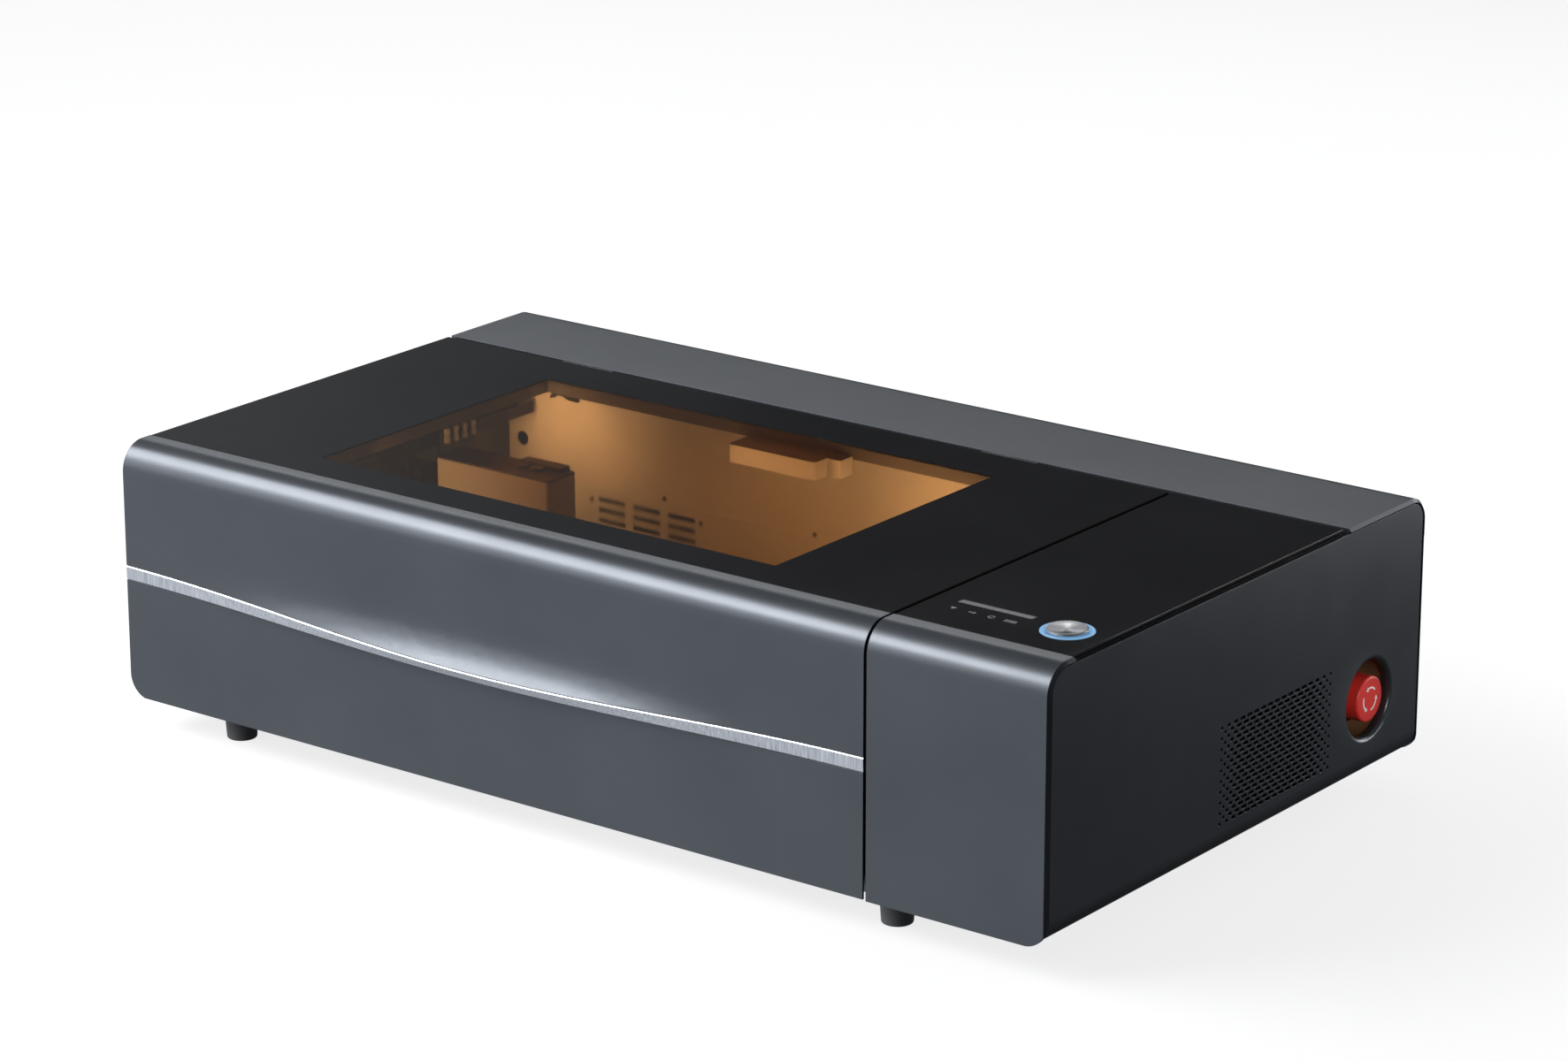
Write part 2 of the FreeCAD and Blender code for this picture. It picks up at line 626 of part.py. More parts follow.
def racetrack(centre_a, centre_b, radius, place):
    """Closed belt loop round two pulleys; place() maps (along, across) to a point."""
    def loop(r):
        a, b = centre_a, centre_b
        return Part.Wire([
            Part.LineSegment(place(a, r), place(b, r)).toShape(),
            Part.Arc(place(b, r), place(b + r, 0), place(b, -r)).toShape(),
            Part.LineSegment(place(b, -r), place(a, -r)).toShape(),
            Part.Arc(place(a, -r), place(a - r, 0), place(a, r)).toShape()])
    return Part.Face(loop(radius + BELT_T)).cut(Part.Face(loop(radius)))


BELT_GAP = 0.35           # belts stand this far off their pulleys


def y_belts():
    belts = []
    for middle in Y_BELT_X:
        face = racetrack(SHAFT_Y, IDLER_Y, PULLEY_R + BELT_GAP,
                         lambda y, z: vec(middle - BELT_W / 2, y, SHAFT_Z + z))
        belts.append(face.extrude(vec(BELT_W, 0, 0)))
    return belts


def x_belt():
    face = racetrack(X_PULLEY[0], X_PULLEY[1], PULLEY_R + BELT_GAP,
                     lambda x, y: vec(x, BEAM_Y + y, X_BELT_Z))
    return [face.extrude(vec(0, 0, BELT_W))]


def flanged_pulley(rod, middle):
    """Toothed drum between two flanges, along the rod's own direction."""
    half = BELT_W / 2 + 0.6
    return [rod(PULLEY_R, (middle - half, middle + half)),
            rod(PULLEY_R + 2.2, (middle - half - 1.2, middle - half)),
            rod(PULLEY_R + 2.2, (middle + half, middle + half + 1.2))]


def drive_shaft():
    """Cross shaft with a belt pulley at each end."""
    def rod(radius, x):
        return rod_x(SHAFT_Y, SHAFT_Z, radius, x)
    pieces = [rod(4.0, (90.0, 787.0))]
    for middle in Y_BELT_X:
        pieces += flanged_pulley(rod, middle)
    return [fuse(pieces)]


def rear_idlers():
    def rod(radius, x):
        return rod_x(IDLER_Y, SHAFT_Z, radius, x)
    idlers = []
    for middle in Y_BELT_X:
        bore = rod(3.0 + RUN, (middle - 20, middle + 20))
        idlers.append(fuse(flanged_pulley(rod, middle)).cut(bore))
    return idlers


def stepper(x, y, z, axis):
    """Square motor with chamfered corners and a round boss."""
    body = box(x, y, z)
    return body.makeChamfer(2.5, [e for e in body.Edges if runs_along(e, axis)])


def y_motor():
    body = stepper((787.5, 815.0), (16.5, 51.5), (183.5, 218.5), X_AXIS)
    return [body.cut(rod_x(SHAFT_Y, SHAFT_Z, 5.0, (780.0, 790.0)))]


def gantry_beam():
    """Beam across the chamber with the head's rail and an end plate at each end."""
    beam = box((132.0, 738.0), (BEAM_Y - 10, BEAM_Y + 10), BEAM_Z)
    groove = box((131.0, 739.0), (BEAM_Y + 7, BEAM_Y + 11), BEAM_RAIL_Z)
    rail = box((146.0, 726.0), (BEAM_Y - 16, BEAM_Y - 10), BEAM_RAIL_Z)
    plates = [box(x, (BEAM_Y - 24, BEAM_Y + 24), (BEAM_Z[0] - 4, 190.0))
              for x in ((128.6, 132.0), (738.0, 741.4))]
    axles = [fuse([rod_z(x, BEAM_Y, 3.0, (BEAM_Z[1] - 1, X_BELT_Z + BELT_W + 4)),
                   rod_z(x, BEAM_Y, 5.0, (BEAM_Z[1] - 1, BEAM_Z[1] + 1.6))]) for x in X_PULLEY]
    return [fuse([beam.cut(groove), rail] + plates + axles)]


def gantry_carriages():
    """Blocks that straddle the rails, with an arm that grips the belt's lower run."""
    blocks = []
    belt_z = SHAFT_Z - PULLEY_R - BELT_GAP - BELT_T
    for middle, belt, side in ((RAIL_X[0], Y_BELT_X[0], 1), (RAIL_X[1], Y_BELT_X[1], -1)):
        block = box((middle - 11, middle + 11), (BEAM_Y - 27, BEAM_Y + 27), (191.0, 207.0))
        block = block.cut(box((middle - 5.4, middle + 5.4), (BEAM_Y - 40, BEAM_Y + 40), (180.0, 198.4)))
        end = middle + side * 11
        plate_x = sorted((end, end + side * 4.0))
        plate = box(plate_x, (BEAM_Y - 24, BEAM_Y + 24), (190.1, 207.0))
        arm_x = sorted((belt - side * 2.0, middle - side * 5.5))
        arm = box(arm_x, (BEAM_Y - 8, BEAM_Y + 8), (199.0, 203.5))
        jaw_x = sorted((belt - side * 2.0, belt + side * 2.0))
        jaw = box(jaw_x, (BEAM_Y - 8, BEAM_Y + 8), (belt_z + BELT_T + 0.4, 199.5))
        blocks.append(fuse([block, plate, arm, jaw]))
    return blocks


def x_motor():
    """Motor hung behind the left end of the beam."""
    y = (BEAM_Y + 10.1, BEAM_Y + 38.1)
    mount = box((132.1, 156.0), (y[0], y[1] - 14), (BEAM_Z[1] - 12, BEAM_Z[1] - 9))
    body = stepper((132.1, 160.1), y, (BEAM_Z[1] - 48, BEAM_Z[1] - 12), Z_AXIS)
    return [body, mount]


def x_pulley(x):
    """Flanged pulley on a vertical axle above the beam."""
    def rod(radius, z):
        return rod_z(x, BEAM_Y, radius, z)
    middle = X_BELT_Z + BELT_W / 2
    bore = rod(3.0 + RUN, (middle - 20, middle + 20))
    return [fuse(flanged_pulley(rod, middle)).cut(bore)]


def mirror_block(x, y, turn):
    """Mirror in a ring mount, standing on a 45 degree line about Z."""
    ring = Part.makeCylinder(13.0, 6.0, vec(0, 0, 0), X_AXIS)
    glass = Part.makeCylinder(10.0, 2.0, vec(5.4, 0, 0), X_AXIS)
    mount = ring.fuse(glass).removeSplitter()
    mount.translate(vec(-7.4, 0, 0))
    mount.rotate(vec(0, 0, 0), Z_AXIS, turn)
    mount.translate(vec(x, y, LASER_Z))
    return mount


def mirror_mounts_fixed():
    """First mirror, behind the beam port, on its bracket."""
    mount = mirror_block(LASER_X, TUBE_Y, -45.0)
    stand = box((LASER_X - 14, LASER_X - 4), (TUBE_Y + 2, TUBE_Y + 14), (2.0, LASER_Z))
    foot = box((LASER_X - 22, LASER_X + 6), (TUBE_Y - 6, TUBE_Y + 22), (2.0, 6.0))
    return [fuse([mount, stand, foot])]


def mirror_2_mount():
    """Second mirror, carried by the gantry's left end."""
    mount = mirror_block(LASER_X, LASER_Y, 45.0)
    plate = box((LASER_X - 12, 128.5), (BEAM_Y - 23, BEAM_Y - 19), (142.0, 172.0))
    arm = box((LASER_X - 16, LASER_X - 5), (LASER_Y - 12, BEAM_Y - 20), (142.0, 148.0))
    link = box((LASER_X - 16, LASER_X - 10), (LASER_Y - 12, LASER_Y - 2), (142.0, 156.0))
    plate = plate.cut(rod_y(LASER_X, LASER_Z, 5.0, (BEAM_Y - 40, BEAM_Y)))
    return [fuse([mount, plate, arm, link])]


def head_carriage():
    """Plate and bearing block that carry the head along the beam's rail."""
    low, high = BEAM_RAIL_Z
    plate = box((190.0, 262.0), (281.0, 284.6), (low - 8, high + 20))
    block = box((200.0, 252.0), (284.5, 291.6), (low - 7, high + 7))
    block = block.cut(box((180.0, 270.0), (285.6, 300.0), (low - 0.4, high + 0.4)))
    clamp = box((214.0, 238.0), (281.0, 292.0), (X_BELT_Z - 2.8, X_BELT_Z - 0.4))
    jaw = box((214.0, 238.0), (290.0, 292.0), (X_BELT_Z - 2, X_BELT_Z + BELT_W - 0.5))
    return [fuse([plate, block, clamp, jaw])]


def head_housing():
    """Sheet cover of the laser head, open below, with the beam's entry hole."""
    shell = rounded_block(HEAD_X, HEAD_Y, HEAD_Z, Z_AXIS, 4.0)
    shell = around(shell, lambda e: abs(e.BoundBox.ZMin - HEAD_Z[1]) < 1e-3, 1.5)
    hollow = box((HEAD_X[0] + 2, HEAD_X[1] - 2), (HEAD_Y[0] + 2, HEAD_Y[1] - 2),
                 (HEAD_Z[0] - 2, HEAD_Z[1] - 2))
    shell = shell.cut(hollow)
    shell = shell.cut(rod_x(LASER_Y, LASER_Z, 5.0, (HEAD_X[0] - 3, HEAD_X[0] + 5)))
    knobs = [rod_z(x, 262.0, 6.0, (HEAD_Z[1] - 0.5, HEAD_Z[1] + 3.0)) for x in (245.0, 262.0)]
    bridge = box((236.0, 284.0), (268.0, 281.0), (HEAD_Z[1] - 0.5, HEAD_Z[1] + 4.0))
    sleeve = rod_z(NOZZLE_X, LASER_Y, 17.0, (96.0, 140.0))
    sleeve = sleeve.cut(rod_z(NOZZLE_X, LASER_Y, 13.5 + RUN, (90.0, 150.0)))
    rib = box((HEAD_X[0] + 1, NOZZLE_X - 15.5), (LASER_Y - 2, LASER_Y + 2), (100.0, 136.0))
    rib_b = box((NOZZLE_X + 15.5, HEAD_X[1] - 1), (LASER_Y - 2, LASER_Y + 2), (100.0, 136.0))
    return [fuse([shell, sleeve, rib, rib_b, head_mirror()] + knobs + [bridge])]


def head_mirror():
    """Third mirror, hung inside the housing, turning the beam down into the lens."""
    ring = Part.makeCylinder(12.0, 6.0, vec(-7.0, 0, 0), X_AXIS)
    ring.rotate(vec(0, 0, 0), Y_AXIS, 135.0)
    ring.translate(vec(NOZZLE_X, LASER_Y, LASER_Z))
    stalk = box((NOZZLE_X + 3, NOZZLE_X + 13), (LASER_Y - 5, LASER_Y + 5), (LASER_Z + 2, HEAD_Z[1] - 1))
    return fuse([ring, stalk])


def lens_barrel():
    """Focusing barrel with the lens and the air nozzle."""
    barrel = rod_z(NOZZLE_X, LASER_Y, 13.5, (86.0, 134.0))
    nozzle = cone_z(NOZZLE_X, LASER_Y, 4.0, 13.5, (62.0, 86.0))
    collar = rod_z(NOZZLE_X, LASER_Y, 15.5, (80.0, 86.0))
    bore = rod_z(NOZZLE_X, LASER_Y, 9.0, (100.0, 140.0))
    tip = cone_z(NOZZLE_X, LASER_Y, 1.5, 9.0, (60.0, 100.5))
    inlet = rod_y(NOZZLE_X, 92.0, 3.0, (LASER_Y - 19.0, LASER_Y - 9.0))
    return [fuse([barrel, nozzle, collar]).cut(fuse([bore, tip])).fuse(inlet).removeSplitter()]


# ---- rear compartment ----
def laser_tube():
    """Glass tube: envelope, water jacket round the bore, and a metal holder on each end."""
    outer = rod_x(TUBE_Y, LASER_Z, TUBE_R, (140.0, 880.0))
    hollow = rod_x(TUBE_Y, LASER_Z, TUBE_R - 2.0, (143.0, 877.0))
    jacket = rod_x(TUBE_Y, LASER_Z, 11.0, (142.0, 878.0))
    caps = [rod_x(TUBE_Y, LASER_Z, 15.0, x) for x in ((122.0, 141.0), (879.0, 898.0))]
    bore = rod_x(TUBE_Y, LASER_Z, 4.5, (121.0, 890.0))
    return [fuse([outer.cut(hollow), jacket] + caps).cut(bore)]


def tube_clamps():
    """Saddles and straps that hold the tube on the cabinet floor."""
    clamps = []
    for x in (360.0, 700.0):
        ring = rod_x(TUBE_Y, LASER_Z, TUBE_R + 7.0, (x, x + 24.0))
        post = box((x, x + 24.0), (TUBE_Y - 22, TUBE_Y + 22), (2.0, LASER_Z - 12))
        clamp = fuse([ring, post]).cut(rod_x(TUBE_Y, LASER_Z, TUBE_R + 0.2, (x - 1, x + 25)))
        clamps.append(clamp)
    return clamps


def exhaust_duct():
    """Sheet duct from the chamber's back wall to the fan."""
    x = (184.0, 320.0)
    y = (CH_REAR + 1.6, 536.0)
    z = (22.0, 118.0)
    duct = box(x, y, z)
    duct = duct.cut(box((x[0] + 1.5, x[1] - 1.5), (y[0] - 1, y[1] - 1.5), (z[0] + 1.5, z[1] - 1.5)))
    return [duct.cut(rod_y(FAN_X, FAN_Z, 44.0, (y[1] - 5, y[1] + 5)))]


def exhaust_fan_frame():
    frame = rounded_block((FAN_X - 48, FAN_X + 48), (536.1, 572.3), (FAN_Z - 48, FAN_Z + 48), Y_AXIS, 6)
    frame = frame.cut(rod_y(FAN_X, FAN_Z, 44.0, (530, 580)))
    hub = rod_y(FAN_X, FAN_Z, 17.0, (564.0, 572.3))
    axle = rod_y(FAN_X, FAN_Z, 2.5, (545.0, 566.0))
    struts = []
    for turn in range(4):
        strut = box((FAN_X + 10, FAN_X + 46), (568.0, 572.0), (FAN_Z - 2, FAN_Z + 2))
        strut.rotate(vec(FAN_X, 570, FAN_Z), Y_AXIS, 90 * turn + 20)
        struts.append(strut)
    return [fuse([frame, hub, axle] + struts)]


def fan_rotor(radius, hub_radius, blades, thickness):
    """Rotor lying along Z, blades twisted about their own roots."""
    hub = Part.makeCylinder(hub_radius, thickness, vec(0, 0, -thickness / 2), Z_AXIS)
    pieces = [hub]
    for blade in range(blades):
        vane = Part.makeBox(radius - hub_radius + 1.5, 2.0, thickness * 1.1,
                            vec(hub_radius - 1.5, -1.0, -thickness * 0.55))
        vane.rotate(vec(0, 0, 0), X_AXIS, 40)
        vane.rotate(vec(0, 0, 0), Z_AXIS, 360.0 * blade / blades)
        pieces.append(vane)
    rim = Part.makeCylinder(radius, thickness * 3, vec(0, 0, -thickness * 1.5), Z_AXIS)
    rotor = fuse(pieces).common(rim)
    return rotor.cut(Part.makeCylinder(2.5 + RUN, thickness * 3, vec(0, 0, -thickness * 1.5), Z_AXIS))


def exhaust_rotor():
    rotor = fan_rotor(42.0, 17.0, 7, 14.0)
    rotor.rotate(vec(0, 0, 0), X_AXIS, 90)
    rotor.translate(vec(FAN_X, 553.0, FAN_Z))
    return [rotor]


def exhaust_outlet():
    """Flanged spigot for the exhaust hose, with a finger guard."""
    y = (DEPTH, DEPTH + SPIGOT_LENGTH)
    flange = rounded_block((FAN_X - 60, FAN_X + 60), (y[0], y[0] + 3), (FAN_Z - 60, FAN_Z + 60), Y_AXIS, 10)
    tube = rod_y(FAN_X, FAN_Z, SPIGOT_R, y)
    body = fuse([flange, tube]).cut(rod_y(FAN_X, FAN_Z, SPIGOT_R - 2.5, (y[0] - 1, y[1] + 1)))
    guard = []
    for radius in (14.0, 26.0, 38.0):
        ring = rod_y(FAN_X, FAN_Z, radius, (y[0], y[0] + 2))
        guard.append(ring.cut(rod_y(FAN_X, FAN_Z, radius - 1.8, (y[0] - 1, y[0] + 4))))
    for turn in range(4):
        bar = box((FAN_X - SPIGOT_R + 1, FAN_X + SPIGOT_R - 1), (y[0], y[0] + 2), (FAN_Z - 1, FAN_Z + 1))
        bar.rotate(vec(FAN_X, y[0], FAN_Z), Y_AXIS, 45.0 * turn)
        guard.append(bar)
    screws = [rod_y(FAN_X + sx * 50, FAN_Z + sz * 50, 3.4, (y[0] + 2.9, y[0] + 5))
              for sx in (-1, 1) for sz in (-1, 1)]
    return [fuse([body] + guard + screws)]


def power_module():
    """Mains inlet socket and the switch's frame behind one flange, on the rear panel."""
    inlet_x = (INLET_X - 14, INLET_X + 14)
    inlet_z = (INLET_Z - 10, INLET_Z + 10)
    switch_x = (SWITCH_X - 11, SWITCH_X + 11)
    switch_z = (INLET_Z - 15, INLET_Z + 15)
    flange = rounded_block((inlet_x[0] - 5, switch_x[1] + 5), (DEPTH, DEPTH + 2.5),
                           (switch_z[0] - 4, switch_z[1] + 4), Y_AXIS, 3)
    module = fuse([box(inlet_x, (545.0, DEPTH), inlet_z), box(switch_x, (548.0, DEPTH), switch_z), flange])
    module = module.cut(box((inlet_x[0] + 2, inlet_x[1] - 2), (555.0, DEPTH + 5),
                            (inlet_z[0] + 2, inlet_z[1] - 2)))
    module = module.cut(box((switch_x[0] + 2, switch_x[1] - 2), (556.0, DEPTH + 5),
                            (switch_z[0] + 2, switch_z[1] - 2)))
    pins = [box((INLET_X + dx - 1, INLET_X + dx + 1), (552.0, 569.0), (INLET_Z + dz - 2, INLET_Z + dz + 2))
            for dx, dz in ((-7, -1), (0, 2), (7, -1))]
    return [fuse([module] + pins)]


def switch_rocker():
    """Rocker that tips about its middle."""
    half_x, half_z = 8.4, 11.6
    corners = [(DEPTH - 9, INLET_Z - half_z + 2), (DEPTH + 1.2, INLET_Z - half_z),
               (DEPTH - 0.8, INLET_Z), (DEPTH + 1.2, INLET_Z + half_z), (DEPTH - 9, INLET_Z + half_z - 2)]
    return [slab_yz(corners, (SWITCH_X - half_x, SWITCH_X + half_x))]


# ---- right compartment ----
def radiator():
    """Finned core between two end tanks, behind the side vent."""
    y = (RADIATOR_Y - 84, RADIATOR_Y + 84)
    z = (RADIATOR_Z - 48, RADIATOR_Z + 48)
    x = (966.0, 990.0)
    tanks = [box(x, (y[0], y[0] + 12), z), box(x, (y[1] - 12, y[1]), z)]
    core = []
    for row in range(11):
        low = z[0] + 3 + row * 8.6
        core.append(box((x[0] + 2, x[1] - 2), (y[0] + 11, y[1] - 11), (low, low + 3.2)))
    webs = [box((x[0] + 4, x[1] - 4), (y[0] + 12 + k * 12.0, y[0] + 12.8 + k * 12.0), (z[0] + 3, z[1] - 3))
            for k in range(1, 12)]
    stands = [box((x[0], x[0] + 7.5), (low, low + 12), (2.0, z[0])) for low in (y[0], y[1] - 12)]
    return [fuse(tanks + core + webs + stands)]


def radiator_fan_frame():
    x = (938.0, 963.0)
    frame = rounded_block(x, (RADIATOR_Y - 46, RADIATOR_Y + 46), (RADIATOR_Z - 46, RADIATOR_Z + 46),
                          X_AXIS, 5)
    frame = frame.cut(rod_x(RADIATOR_Y, RADIATOR_Z, 43.0, (930, 970)))
    hub = rod_x(RADIATOR_Y, RADIATOR_Z, 18.0, (938.0, 943.0))
    axle = rod_x(RADIATOR_Y, RADIATOR_Z, 2.5, (942.0, 960.0))
    struts = []
    for turn in range(3):
        strut = box((938.0, 942.0), (RADIATOR_Y + 14, RADIATOR_Y + 45), (RADIATOR_Z - 2, RADIATOR_Z + 2))
        strut.rotate(vec(940, RADIATOR_Y, RADIATOR_Z), X_AXIS, 120 * turn + 30)
        struts.append(strut)
    stand = [box((940.0, 961.0), (RADIATOR_Y + d - 5, RADIATOR_Y + d + 5), (2.0, RADIATOR_Z - 45.9))
             for d in (-36, 36)]
    return [fuse([frame, hub, axle] + struts + stand)]


def radiator_rotor():
    rotor = fan_rotor(41.0, 18.0, 9, 12.0)
    rotor.rotate(vec(0, 0, 0), Y_AXIS, 90)
    rotor.translate(vec(952.0, RADIATOR_Y, RADIATOR_Z))
    return [rotor]


def coolant_tank():
    """Moulded tank with a filler cap and the pump on its end."""
    tank = rounded_block((834.0, 926.0), (262.0, 420.0), (2.0, 120.0), Z_AXIS, 10)
    cap = rod_z(880.0, 300.0, 18.0, (119.0, 132.0))
    pump = rod_y(880.0, 60.0, 22.0, (419.0, 452.0))
    return [fuse([tank, cap, pump])]


def laser_power_supply():
    case = rounded_block((836.0, 972.0), (100.0, 240.0), (2.0, 96.0), Z_AXIS, 3)
    case = case.cut(box((837.5, 970.5), (101.5, 238.5), (3.5, 94.5)))
    slots = [box((850.0 + k * 12, 854.0 + k * 12), (98.0, 104.0), (20.0, 80.0)) for k in range(10)]
    return [case.cut(Part.makeCompound(slots))]


def control_board():
    """Circuit board on posts under the control deck, with its tall parts."""
    board = box((836.0, 972.0), (130.0, 240.0), (140.0, 141.6))
    chips = [box((850 + 34 * k, 868 + 34 * k), (150.0, 172.0), (141.6, 146.0)) for k in range(4)]
    caps = [rod_z(858 + 24 * k, 212.0, 6.5, (141.6, 158.0)) for k in range(5)]
    posts = [rod_z(x, y, 3.0, (96.0, 140.1)) for x in (842.0, 966.0) for y in (136.0, 234.0)]
    return [fuse([board] + chips + caps + posts)]


def control_glass():
    """Black glass over the right compartment, cut for the button and the light bar."""
    x = (COVER_START + 1.0, 994.5)
    plate = glass_plate(x, (HEIGHT - GLASS_T, HEIGHT))
    plate = plate.cut(rod_z(BUTTON[0], BUTTON[1], 22.9, (230, 240)))
    return [plate.cut(box((846.2, 918.9), (92.6, 98.6), (230, 240)))]


def panel_lights():
    """Light ring round the button, and the status bar."""
    x, y = BUTTON
    ring = rod_z(x, y, 22.6, (HEIGHT - 5.0, HEIGHT + 0.6))
    ring = around(ring, lambda e: abs(e.BoundBox.ZMin - HEIGHT - 0.6) < 1e-3, 0.5)
    ring = ring.cut(rod_z(x, y, 18.0, (220, 245)))
    bar = box((846.4, 918.7), (92.8, 98.4), (HEIGHT - 3.5, HEIGHT))
    return [ring, bar]


def power_button():
    """Metal cap on its stem."""
    x, y = BUTTON
    cap = rod_z(x, y, 17.3, (HEIGHT - 3.0, HEIGHT + 3.0))
    cap = around(cap, lambda e: abs(e.BoundBox.ZMin - HEIGHT - 3.0) < 1e-3, 1.2)
    return [fuse([cap, rod_z(x, y, 6.0, (216.0, HEIGHT - 2.5))])]


def estop_rod(radius, x):
    return rod_x(ESTOP_Y, ESTOP_Z, radius, x)


def estop_recess():
    """Deep round cup that shields the stop button, with the switch body on its floor."""
    cup = estop_rod(39.6, (950.0, SIDE_X - 8.1)).cut(estop_rod(36.5, (953.0, WIDTH)))
    body = [estop_rod(10.8, (940.0, 962.0)), estop_rod(15.0, (952.0, 958.0)),
            box((915.0, 941.0), (ESTOP_Y - 14, ESTOP_Y + 14), (ESTOP_Z - 14, ESTOP_Z + 14))]
    return [fuse([cup] + body).cut(estop_rod(6.0 + RUN, (925.0, 970.0)))]


def estop_stem():
    """Stem that travels when the button is struck."""
    return [fuse([estop_rod(6.0, (936.0, 980.0)), estop_rod(3.0, (980.0, 992.0))])]


def estop_cap():
    """Mushroom head that twists on the stem to release."""
    cap = estop_rod(20.5, (984.0, SIDE_X + 0.8))
    cap = around(cap, lambda e: abs(e.BoundBox.XMin - SIDE_X - 0.8) < 1e-3, 2.0)
    neck = Part.makeCone(9.0, 20.5, 4.0, vec(980.2, ESTOP_Y, ESTOP_Z), X_AXIS)
    return [fuse([cap, neck]).cut(estop_rod(3.0 + RUN, (978.0, 992.4)))]


PARTS = {
    "lid_shell": lid_shell, "lid_trim": lid_trim, "lid_frame": lid_frame, "lid_glass": lid_glass,
    "window_mask": window_mask, "camera_housing": camera_housing, "work_light": work_light,
    "lid_hinge_leaves": lid_hinge_leaves, "lower_front_panel": lower_front_panel,
    "door_hinge_leaves": door_hinge_leaves, "left_side_panel": left_side_panel,
    "right_side_panel": right_side_panel, "right_front_cover": right_front_cover,
    "rear_top_cover": rear_top_cover, "rear_panel": rear_panel, "base_pan": base_pan, "feet": feet,
    "front_crossbar": front_crossbar, "chamber_rear_wall": chamber_rear_wall,
    "chamber_side_walls": chamber_side_walls, "compartment_bulkhead": compartment_bulkhead,
    "slat_bed": slat_bed, "fixed_hinge_leaves": fixed_hinge_leaves, "hinge_pins": hinge_pins,
    "y_rails": y_rails, "y_belts": y_belts, "drive_shaft": drive_shaft, "rear_idlers": rear_idlers,
    "y_motor": y_motor, "gantry_beam": gantry_beam,
    "gantry_carriages": gantry_carriages, "x_belt": x_belt, "x_motor": x_motor,
    "first_mirror": mirror_mounts_fixed, "second_mirror": mirror_2_mount,
    "head_carriage": head_carriage, "head_housing": head_housing,
    "lens_barrel": lens_barrel, "laser_tube": laser_tube, "tube_clamps": tube_clamps,
    "exhaust_duct": exhaust_duct, "exhaust_fan_frame": exhaust_fan_frame,
    "exhaust_rotor": exhaust_rotor, "exhaust_outlet": exhaust_outlet, "power_module": power_module,
    "switch_rocker": switch_rocker, "radiator": radiator,
    "radiator_fan_frame": radiator_fan_frame, "radiator_rotor": radiator_rotor,
    "coolant_tank": coolant_tank, "laser_power_supply": laser_power_supply,
    "control_board": control_board, "control_glass": control_glass, "panel_lights": panel_lights,
    "power_button": power_button, "estop_recess": estop_recess,
    "estop_stem": estop_stem, "estop_cap": estop_cap,
}

os.makedirs("parts", exist_ok=True)
for part_name, make in PARTS.items():
    save(part_name, make())
save("x_drive_pulley", x_pulley(X_PULLEY[0]))
save("x_idler_pulley", x_pulley(X_PULLEY[1]))
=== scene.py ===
"""Looks of the desktop laser cutter: finishes for its CAD pieces, small fittings, light and camera."""

import json
import math

import bmesh
import bpy
from mathutils import Matrix, Vector


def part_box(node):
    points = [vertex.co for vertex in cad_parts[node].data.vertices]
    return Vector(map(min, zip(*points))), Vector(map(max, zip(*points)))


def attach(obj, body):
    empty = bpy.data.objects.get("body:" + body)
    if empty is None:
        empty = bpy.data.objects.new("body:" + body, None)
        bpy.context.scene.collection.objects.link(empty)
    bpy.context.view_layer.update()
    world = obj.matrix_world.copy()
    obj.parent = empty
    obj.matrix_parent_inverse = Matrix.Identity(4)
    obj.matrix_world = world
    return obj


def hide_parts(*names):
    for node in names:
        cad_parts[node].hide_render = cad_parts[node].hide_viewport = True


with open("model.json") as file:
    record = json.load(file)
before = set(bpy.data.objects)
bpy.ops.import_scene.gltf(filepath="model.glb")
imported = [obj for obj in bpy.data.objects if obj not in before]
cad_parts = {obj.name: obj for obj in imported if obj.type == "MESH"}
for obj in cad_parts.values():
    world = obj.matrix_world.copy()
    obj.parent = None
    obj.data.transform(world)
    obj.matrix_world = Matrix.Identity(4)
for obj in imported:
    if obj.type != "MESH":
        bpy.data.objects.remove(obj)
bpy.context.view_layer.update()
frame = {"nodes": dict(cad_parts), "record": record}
NODES = frame["nodes"]
SLOT_OF = {part["node"]: part["material_slot"] for part in frame["record"]["subparts"]}

MM = 0.001
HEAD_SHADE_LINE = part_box("head_housing")[1][2] - 5.8 * MM        # the painted shade on the head's top starts here
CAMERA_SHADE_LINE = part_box("camera_housing")[1][2] - 0.4 * MM    # so does the painted shade on the camera box's top
SHADE_BLEND_HALF = 0.2 * MM                                       # half the height of the blend into the painted shade
